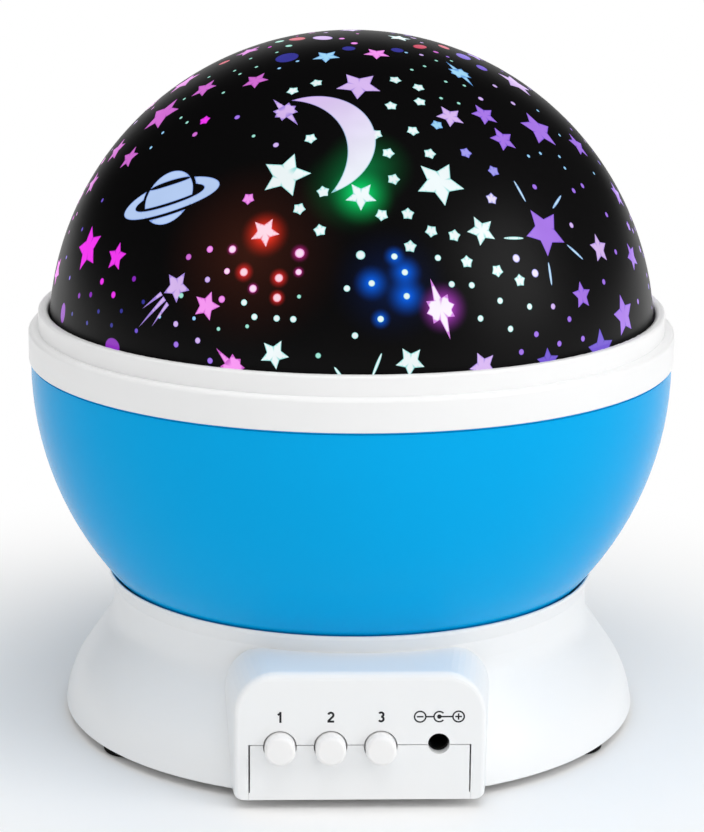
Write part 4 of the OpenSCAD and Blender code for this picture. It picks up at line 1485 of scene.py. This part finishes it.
    def opening_at(self, motifs: list[Motif], owner: list[tuple[int, int]], ids: Iterable[int],
                   spot: np.ndarray) -> Motif | None:
        """Finds the motif whose opening holds a spot.

        Args:
            motifs: All motifs.
            owner: The motif and its own outline number of each outline.
            ids: The outlines that hold the spot.
            spot: The spot, as a way from the dome's centre.

        Returns:
            The motif, or None where there is ink.
        """
        found: dict[int, set[int]] = {}
        for i in ids:
            if owner[i][0] >= 0:
                found.setdefault(owner[i][0], set()).add(owner[i][1])
        for number, inside in found.items():
            motif = motifs[number]
            if motif.is_clear(frozenset(inside), *motif.seen_at(spot)):
                return motif
        return None


def film_faces(triangles: list[tuple[int, int, int]],
               count: int) -> tuple[list[tuple[int, ...]], list[tuple[int, int]]]:
    """Closes a sheet of triangles into a thin solid.

    Args:
        triangles: The outer side's triangles, anticlockwise from outside.
        count: Number of its points; the inner side's points follow them in the same order.

    Returns:
        The solid's faces, and the sheet's border edges.
    """
    faces: list[tuple[int, ...]] = []
    edges: set[tuple[int, int]] = set()
    for a, b, c in triangles:
        faces += [(a, b, c), (c + count, b + count, a + count)]
        edges |= {(a, b), (b, c), (c, a)}
    border = sorted((a, b) for a, b in edges if (b, a) not in edges)
    faces += [(a, a + count, b + count, b) for a, b in border]
    return faces, border


def thin_film(name: str, centre: Vector, ways: np.ndarray, triangles: list[tuple[int, int, int]], inner: float,
              outer: float, owners: list[Motif] | None = None) -> bpy.types.Mesh:
    """Builds a closed film on a sphere from triangles.

    Args:
        name: The mesh's name.
        centre: The sphere's centre.
        ways: Every point's way from the centre.
        triangles: The film's triangles, anticlockwise from outside.
        inner: Radius of its inner side.
        outer: Radius of its outer side.
        owners: For a lit film, the motif that each triangle belongs to.

    Returns:
        The mesh.
    """
    used = sorted({i for t in triangles for i in t})
    place = {old: new for new, old in enumerate(used)}
    count = len(used)
    out = ways[used]
    points = np.concatenate([out * outer, out * inner]) + np.array(centre)
    faces, border = film_faces([(place[a], place[b], place[c]) for a, b, c in triangles], count)
    mesh = bpy.data.meshes.new(name)
    mesh.from_pydata(points.tolist(), [], faces)
    mesh.polygons.foreach_set("use_smooth", [True] * len(mesh.polygons))
    if owners is not None:
        core = np.ones(2 * count, dtype=np.float32)
        for a, b in border:
            core[[a, b, a + count, b + count]] = 0.0
        mesh.attributes.new("core", "FLOAT", "POINT").data.foreach_set("value", core)
        colours = {label: np.ones((2 * count, 4), dtype=np.float32) for label in ("middle", "rim")}
        for t, motif in zip(triangles, owners):
            for i in t:
                k = place[i]
                u, v = motif.seen_at(ways[i])
                for label, colour in zip(colours, motif.lights(u * outer / MM, v * outer / MM)):
                    colours[label][[k, k + count]] = colour
        for label, values in colours.items():
            mesh.attributes.new(label, "FLOAT_COLOR", "POINT").data.foreach_set("color", values.ravel())
    mesh.update()
    mesh.normals_split_custom_set_from_vertices(np.concatenate([out, -out]).tolist())
    mesh.validate()
    return mesh


# ------------------------------------------------------------------ sub-assemblies


WHITE_SKIN = MouldedPlastic("white_moulding", (0.87, 0.878, 0.884, 1.0), roughness=0.34, spread=0.06, tone=0.012,
                            grain=0.35, marks=0.06, specular=0.3)
COLLAR_SKIN = MouldedPlastic("collar_moulding", (0.87, 0.872, 0.876, 1.0), roughness=0.32, spread=0.05, tone=0.01,
                             grain=0.25, marks=0.06, specular=0.3)
CAP_SKIN = MouldedPlastic("button_moulding", (0.88, 0.872, 0.868, 1.0), roughness=0.34, spread=0.08, tone=0.01,
                          grain=0.5, marks=0.15, specular=0.4)
BOWL_SKIN = MouldedPlastic("bowl_moulding", (0.0, 0.385, 0.8, 1.0), roughness=0.22, spread=0.04, tone=0.025,
                           grain=0.05, marks=0.12, specular=0.05)
BLACK_RUBBER = MouldedPlastic("foot_rubber", tint(11, 11, 11), roughness=0.75, spread=0.2, tone=0.25, grain=1.0,
                              marks=0.3, specular=0.12, bump=RUBBER_BUMP)
BLACK_MOULDING = MouldedPlastic("black_moulding", tint(20, 20, 21), roughness=0.42, spread=0.15, tone=0.2, grain=0.5,
                                marks=0.2, specular=0.4)
ACETAL = MouldedPlastic("acetal", tint(228, 226, 216), roughness=0.4, spread=0.1, tone=0.03, grain=0.2, marks=0.3,
                        specular=0.4, depth=0.12)
HOLDER_WHITE = MouldedPlastic("holder_moulding", tint(234, 234, 230), roughness=0.42, spread=0.12, tone=0.03,
                              grain=0.4, marks=0.2)
SCREW_STEEL = BareMetal("plated_screw", tint(186, 186, 182), 0.28, (1.0, 1.0, 0.2))
SPRING_STEEL = BareMetal("spring_wire", tint(176, 177, 178), 0.24, (0.3, 1.0, 1.0))
MOTOR_STEEL = BareMetal("motor_can", tint(178, 177, 172), 0.36, (1.0, 1.0, 0.08))
NICKEL = BareMetal("contact_nickel", tint(206, 203, 196), 0.25, (0.1, 1.0, 1.0))
BRASS = BareMetal("contact_brass", tint(205, 170, 96), 0.25, (1.0, 0.1, 1.0))
SOLDER = BareMetal("solder_tin", tint(190, 190, 192), 0.32, (1.0, 1.0, 1.0))
GREEN_BOARD = CircuitBoard("green_board", tint(24, 92, 58), tint(52, 128, 80), 380.0)
WHITE_BOARD = CircuitBoard("white_board", tint(226, 226, 220), tint(206, 204, 192), 520.0)
LEGEND_INK = MouldedPlastic("legend_ink", tint(34, 34, 37), roughness=0.5, spread=0.1, tone=0.2, grain=0.8, marks=0.0,
                            specular=0.2)


class Jacket(Enum):
    """Colours of the leads' jackets."""

    RED = (188, 30, 28)
    BLACK = (30, 30, 31)
    GREEN = (30, 138, 62)
    BLUE = (34, 74, 170)
    WHITE = (226, 226, 222)

    def finish(self) -> MouldedPlastic:
        """Gives the finish of a lead's jacket."""
        return MouldedPlastic("jacket_" + self.name.lower(), tint(*self.value), roughness=0.38, spread=0.1, tone=0.06,
                              grain=0.2, marks=0.1)


@dataclass
class Base:
    """The base: housing, bottom cover, feet, buttons, jack and the printed marks on the panel.

    Attributes:
        face: Y of the panel's front face.
        button_x: X of each push button.
        jack_x: X of the power jack.
        legend_z: Height of the marks' middle.
        digit_tall: Height of a digit.
        pen: Width of a digit's strokes.
        fine_pen: Width of the polarity mark's strokes.
        film: Thickness of the printed marks.
        symbol_wide: Width of the jack's polarity mark.
    """

    face: float = -59.9 * MM
    button_x: tuple[float, float, float] = (-15.0 * MM, -5.5 * MM, 3.9 * MM)
    jack_x: float = 14.8 * MM
    legend_z: float = 18.5 * MM
    digit_tall: float = 2.16 * MM
    pen: float = 0.4 * MM
    fine_pen: float = 0.28 * MM
    film: float = 0.03 * MM
    symbol_wide: float = 9.6 * MM

    def dress(self) -> None:
        """Gives the base's nodes their finishes."""
        for node in ("base_housing", "base_cover"):
            dress(node, WHITE_SKIN)
        for number in (1, 2, 3):
            dress(f"button_{number}", CAP_SKIN)
            dress(f"switch_{number}", BLACK_MOULDING)
        dress("rubber_feet", BLACK_RUBBER)
        dress("dc_jack", BLACK_MOULDING)
        dress("jack_contact", BRASS)
        for node in ("cover_screws", "board_screws"):
            dress(node, SCREW_STEEL)
        LOG.info("base: housing, cover, feet, buttons and jack dressed")

    def printed(self, name: str, strokes: list[list[Point]], middle_x: float) -> bpy.types.Object:
        """Turns pen strokes into a printed mark on the panel.

        Args:
            name: The mark's name.
            strokes: Outlines of the strokes, which may cross, in metres around the mark's middle.
            middle_x: X of the mark's middle.

        Returns:
            The mark.
        """
        points: list[Vector] = []
        faces: list[list[int]] = []
        for outline in strokes:
            faces.append(list(range(len(points), len(points) + len(outline))))
            points += [Vector((u / MM, v / MM)) for u, v in outline]
        cut = delaunay_2d_cdt(points, [], faces, 0, WELD, True)
        flat = [p * MM for p in cut[0]]
        triangles = []
        for (a, b, c), held in zip(cut[2], cut[5]):
            if held:
                turned = (flat[b] - flat[a]).cross(flat[c] - flat[a]) < 0
                triangles.append((a, c, b) if turned else (a, b, c))
        solid, _ = film_faces(triangles, len(flat))
        corners = [(middle_x + p.x, self.face - off, self.legend_z + p.y) for off in (self.film, 0.0) for p in flat]
        mesh = bpy.data.meshes.new(name)
        mesh.from_pydata(corners, [], solid)
        mesh.validate()
        return new_piece(name, mesh, "base", LEGEND_INK)

    def build_marks(self) -> None:
        """Builds the digits over the buttons and the polarity mark over the jack."""
        tall = (self.digit_tall - self.pen) / 2
        wide = 0.56 * tall
        top, low = arc((0.0, 0.52 * tall), 0.48 * tall, 150, -90), arc((0.0, -0.48 * tall), 0.52 * tall, 90, -150)
        bend = arc((0.0, 0.46 * tall), 0.54 * tall, 165, -38)
        stem, foot, end = 0.1 * tall, -wide - self.pen / 3, self.digit_tall / 2
        digits = [[[(stem, -end), (stem, end)], [(-0.45 * tall, 0.52 * tall), (stem, 0.92 * tall)]],
                  [[*bend, (-wide, -0.9 * tall)], [(foot, -tall), (-foot, -tall)]],
                  [top, low]]
        for number, (paths, x) in enumerate(zip(digits, self.button_x), 1):
            self.printed(f"digit_{number}", [pen_stroke(path, self.pen) for path in paths], x)
        polarity = [pen_stroke(path, self.fine_pen) for path in self.polarity_paths()]
        self.printed("polarity_mark", [*polarity, oval(0.42 * MM, 0.42 * MM)], self.jack_x)
        LOG.info("base: three digits and the polarity mark printed")

    def polarity_paths(self) -> list[list[Point]]:
        """Gives the strokes of the usual mark of a jack with a positive centre, but for its dot: minus, cup, plus.

        Returns:
            The strokes' paths, from the mark's middle.
        """
        half, end, cup = self.symbol_wide / 2, 1.2 * MM, 1.15 * MM
        middle, reach = half - end, 0.62 * MM
        paths = []
        for side in (-1, 1):
            for start in (0, 180):
                paths.append(arc((side * middle, 0.0), end - self.fine_pen / 2, start, start + 184))
            paths.append([(side * middle - reach, 0.0), (side * middle + reach, 0.0)])
        paths.append([(middle, -reach), (middle, reach)])
        paths.append(arc((0.0, 0.0), cup - self.fine_pen / 2, 42, 318))
        paths.append([(2 * end - half - 0.1 * MM, 0.0), (0.1 * MM - cup, 0.0)])
        paths.append([(0.2 * MM, 0.0), (half - 2 * end + 0.1 * MM, 0.0)])
        return paths


@dataclass
class Bowl:
    """The turning bowl with its gear and bush."""

    def dress(self) -> None:
        """Gives the bowl's nodes their finishes."""
        dress("bowl_shell", BOWL_SKIN)
        for node in ("bowl_gear", "hub_bush"):
            dress(node, ACETAL)
        dress("gear_screws", SCREW_STEEL)
        LOG.info("bowl: shell, gear and bush dressed")


@dataclass
class DomeCap:
    """The collar, the clear dome with its print, and the ring that holds the dome.

    Attributes:
        sky: The dome's print.
    """

    sky: DomePrint = field(default_factory=DomePrint)

    def dress(self) -> None:
        """Gives the cap's nodes their finishes."""
        dress("collar_ring", COLLAR_SKIN)
        dress("star_dome", ClearDome("clear_dome", tint(214, 212, 226), tint(150, 120, 220)))
        dress("snap_ring", SPRING_STEEL)
        LOG.info("dome cap: collar, dome and snap ring dressed")

    def glows(self) -> tuple[Pool, ...]:
        """Gives the glows on the ink.

        Returns:
            The pools of light round the lamps' openings.
        """
        red, rose, blue = (1.1, 0.03, 0.03, 1.0), (0.7, 0.02, 0.3, 1.0), (0.0, 0.14, 0.95, 1.0)
        spots = [Pool(-19.5, 29.3, 5.0 * MM, (1.5, 0.05, 0.02, 1.0), 2.2),
                 Pool(-22, 26, 19 * MM, (0.035, 0.007, 0.003, 1.0), 1.5),
                 Pool(-0.3, 37.0, 6.6 * MM, (0.0, 0.85, 0.18, 1.0), 2.2),
                 Pool(1.6, 43.0, 9 * MM, (0.0, 0.12, 0.03, 1.0), 1.8),
                 Pool(-2.5, 38.5, 10 * MM, (0.0, 0.12, 0.03, 1.0), 2.0),
                 Pool(14.4, 16.6, 5.2 * MM, (0.8, 0.1, 1.0, 1.0), 2.2),
                 Pool(5, 21, 12 * MM, (0.0, 0.008, 0.05, 1.0), 2.0)]
        for azimuth, height, reach in ((-22.5, 22.3, 2.1), (-15.6, 21.7, 2.0), (-15.6, 18.3, 1.7)):
            spots.append(Pool(azimuth, height, reach * MM, red, 1.8))
        for azimuth, height, reach in ((-25.6, 26.1, 1.3), (-20.3, 19.6, 1.3), (-12.1, 26.2, 1.9), (-12, 22.9, 1.2)):
            spots.append(Pool(azimuth, height, reach * MM, rose, 1.8))
        for azimuth, height, reach in ((1.5, 21.2, 3.7), (3, 15.1, 2.1), (5.9, 25.8, 2.3), (7.7, 23, 3.6),
                                       (7.8, 18.9, 4.2)):
            spots.append(Pool(azimuth, height, reach * MM, blue, 2.0))
        return tuple(spots)

    def build(self) -> None:
        """Builds the dome's print."""
        ink = DomeInk("dome_ink", (0.003, 0.0028, 0.003, 1.0), 0.36, self.sky.centre, self.sky.radius, self.glows())
        light = DomeWindow("dome_light", tint(30, 29, 34), 0.8)
        for piece in self.sky.build(ink, light):
            LOG.info("dome cap: %s, %d faces", piece.name, len(piece.data.polygons))


@dataclass
class Works:
    """Motor, gears, lamps, boards, leads, cells and their contacts.

    Attributes:
        cell_middle: Y of the cells' middle.
        sleeve_half: Half the length of a cell's sleeve.
        lens_low: Height of a lamp's flange.
    """

    cell_middle: float = 14.1 * MM
    sleeve_half: float = 21.6 * MM
    lens_low: float = 70.0 * MM

    def dress(self) -> None:
        """Gives the works' nodes their finishes."""
        dress("drive_motor", MOTOR_STEEL)
        for node in ("motor_shaft", "motor_screws", "post_screws", "door_screw"):
            dress(node, SCREW_STEEL)
        for node in ("spindle_post", "thrust_washer", "drive_pinion"):
            dress(node, ACETAL)
        dress("retaining_clip", SPRING_STEEL)
        dress("led_holder", HOLDER_WHITE)
        dress("led_board", WHITE_BOARD)
        dress("control_board", GREEN_BOARD)
        dress("battery_door", WHITE_SKIN)
        dress("battery_contacts", NICKEL)
        dress("battery_springs", SPRING_STEEL)
        dress("aaa_cells", CellSleeve("cell_sleeve", tint(44, 48, 56), tint(196, 150, 74), self.cell_middle,
                                      self.sleeve_half))
        self.dress_lamps()
        self.dress_board_parts()
        self.dress_leads()
        LOG.info("works: motor, boards, lamps, leads and cells dressed")

    def dress_lamps(self) -> None:
        """Gives each lamp its resin and its light."""
        for name, glow, level in (("red", (1.0, 0.03, 0.03, 1.0), 2.2), ("green", (0.03, 0.9, 0.12, 1.0), 1.8),
                                  ("blue", (0.05, 0.12, 1.0, 1.0), 2.4), ("white", (0.95, 0.97, 1.0, 1.0), 1.6)):
            dress("led_" + name, LampResin("lamp_resin_" + name, glow, level, self.lens_low))

    def dress_board_parts(self) -> None:
        """Gives the chip, the capacitor and the solder pads their finishes."""
        can = MouldedPlastic("capacitor_sleeve", tint(34, 52, 110), roughness=0.3, spread=0.1, tone=0.08, grain=0.2,
                             marks=0.1)

        def choose(_: int, middle: Vector) -> int:
            """Tells the parts by where they stand.

            Args:
                _: The part's number, which doesn't matter.
                middle: The part's middle.

            Returns:
                The number of its finish.
            """
            if middle.x > 10 * MM:
                return 1
            return 2 if middle.x < -5 * MM else 0

        dress_each("board_parts", [BLACK_MOULDING, can, SOLDER], choose)

    def dress_leads(self) -> None:
        """Gives each lead a jacket of its own colour."""
        jackets = [j.finish() for j in (Jacket.RED, Jacket.BLACK, Jacket.GREEN, Jacket.BLUE, Jacket.WHITE)]
        dress_each("led_wires", jackets, lambda number, _: number % 5)
        for node in ("motor_wires", "battery_wires"):
            dress_each(node, jackets[:2], lambda number, _: number % 2)


# ------------------------------------------------------------------ studio


@dataclass(frozen=True)
class Softbox:
    """A studio lamp.

    Attributes:
        name: Its name.
        azimuth: Degrees to the right of the panel's direction.
        height: Degrees above the horizon.
        away: Distance from the object's middle.
        size: Length of its sides.
        power: Its power in watts.
        mirrored: Whether glossy parts show it.
    """

    name: str
    azimuth: float
    height: float
    away: float
    size: tuple[float, float]
    power: float
    mirrored: bool = True

    def build(self, middle: Vector) -> None:
        """Places the lamp so that it faces a point.

        Args:
            middle: The point.
        """
        data = bpy.data.lights.new(self.name, "AREA")
        data.shape = "RECTANGLE"
        data.size, data.size_y = self.size
        data.energy = self.power
        lamp = bpy.data.objects.new(self.name, data)
        lamp.location = middle + direction(self.azimuth, self.height) * self.away
        lamp.rotation_euler = (middle - lamp.location).to_track_quat("-Z", "Y").to_euler()
        lamp.visible_camera = False
        lamp.visible_glossy = self.mirrored
        bpy.context.scene.collection.objects.link(lamp)


@dataclass
class Studio:
    """The floor, the surroundings, the lamps and the camera.

    Attributes:
        eye: The camera's place.
        target: The point that it looks at.
        lens: Its focal length in millimetres.
        roll: Its turn about its own axis, in degrees.
        floor_half: Half the floor's side.
        paper: The floor's colour.
        paper_near: Distance up to which the floor is paper.
        paper_far: Distance from which it is plain white.
        middle: The point that the lamps face.
        wall: Where the white wall behind begins and is full, as shares of the way back, and its least and full light.
        glint: The same for the paler wall at the right.
        room: Colour of the room's own light.
    """

    eye: Vector = field(default_factory=lambda: Vector((-19.626, -535.239, 198.724)) * MM)
    target: Vector = field(default_factory=lambda: Vector((0.227, -0.008, 61.136)) * MM)
    lens: float = 117.169
    roll: float = 0.4556
    floor_half: float = 8.0
    paper: Colour = (0.92, 0.915, 0.91, 1.0)
    paper_near: float = 62 * MM
    paper_far: float = 170 * MM
    middle: Vector = field(default_factory=lambda: Vector((0.0, 0.0, 65 * MM)))
    wall: tuple[float, float, float, float] = (0.88, 1.0, 0.012, 0.8)
    glint: tuple[float, float, float, float] = (0.2, 1.0, 0.0, 0.06)
    room: Colour = (0.44, 0.44, 0.436, 1.0)

    def build(self) -> None:
        """Builds the floor, the surroundings, the lamps and the camera."""
        self.build_floor()
        self.build_world()
        lamps = [Softbox("key_box", 64, 25, 1.5, (0.8, 0.9), 7.6),
                 Softbox("top_box", 24, 76, 1.6, (1.4, 1.4), 9.8, mirrored=False),
                 Softbox("brow_card", -4, 50, 1.6, (1.2, 1.0), 2.7, mirrored=False),
                 Softbox("low_card", 26, 3, 1.6, (1.2, 0.8), 2.8, mirrored=False),
                 Softbox("left_card", -75, 22, 1.6, (1.2, 1.2), 3.5, mirrored=False)]
        for lamp in lamps:
            lamp.build(self.middle)
        self.build_camera()
        LOG.info("studio: floor, surroundings, %d lamps and camera placed", len(lamps))

    def build_floor(self) -> None:
        """Builds the floor, which reaches far past the view."""
        mesh = bpy.data.meshes.new("studio_floor")
        h = self.floor_half
        mesh.from_pydata([(-h, -h, 0), (h, -h, 0), (h, h, 0), (-h, h, 0)], [], [(0, 1, 2, 3)])
        mesh.materials.append(Floor("studio_paper", self.paper, self.paper_near, self.paper_far).material())
        floor = bpy.data.objects.new("studio_floor", mesh)
        bpy.context.scene.collection.objects.link(floor)

    def build_world(self) -> None:
        """Makes the surroundings: white to look at, a white wall behind and a dim room in front for reflections."""
        world = bpy.data.worlds.new("studio")
        world.use_nodes = True
        world.node_tree.nodes.clear()
        g = Graph(world.node_tree)
        way = g.add("TexCoord").outputs["Generated"]
        back, side = g.remap(g.part(way, "Y"), *self.wall), g.remap(g.part(way, "X"), *self.glint)
        mirror = g.add("Background", {"Color": WHITE, "Strength": g.math("ADD", back, side)})
        ambient = g.add("Background", {"Color": self.room, "Strength": 1.0})
        white = g.add("Background", {"Color": WHITE, "Strength": 1.0})
        path = g.add("LightPath").outputs
        lit = g.add("MixShader", {0: path["Is Glossy Ray"], 1: ambient.outputs[0], 2: mirror.outputs[0]})
        seen = g.math("MAXIMUM", path["Is Camera Ray"], path["Is Transmission Ray"])
        last = g.add("MixShader", {0: seen, 1: lit.outputs[0], 2: white.outputs[0]})
        g.add("OutputWorld", {"Surface": last.outputs[0]})
        bpy.context.scene.world = world

    def build_camera(self) -> None:
        """Places the camera."""
        forward = (self.target - self.eye).normalized()
        right = forward.cross(Vector((0.0, 0.0, 1.0))).normalized()
        up = right.cross(forward)
        turn = math.radians(self.roll)
        right, up = right * math.cos(turn) + up * math.sin(turn), up * math.cos(turn) - right * math.sin(turn)
        data = bpy.data.cameras.new("studio_camera")
        data.lens = self.lens
        data.sensor_width = 36.0
        data.clip_start, data.clip_end = 0.01, 50.0
        camera = bpy.data.objects.new("studio_camera", data)
        camera.matrix_world = Matrix((
            (right.x, up.x, -forward.x, self.eye.x), (right.y, up.y, -forward.y, self.eye.y),
            (right.z, up.z, -forward.z, self.eye.z), (0.0, 0.0, 0.0, 1.0)))
        bpy.context.scene.collection.objects.link(camera)
        bpy.context.scene.camera = camera


def main() -> None:
    """Dresses the frame, builds the prints and sets the studio."""
    logging.basicConfig(level=logging.INFO, format="%(message)s")
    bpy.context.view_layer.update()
    bpy.context.scene.view_settings.view_transform = "Standard"
    base = Base()
    base.dress()
    base.build_marks()
    Bowl().dress()
    cap = DomeCap()
    cap.dress()
    cap.build()
    Works().dress()
    Studio().build()


if __name__ == "__main__":
    main()
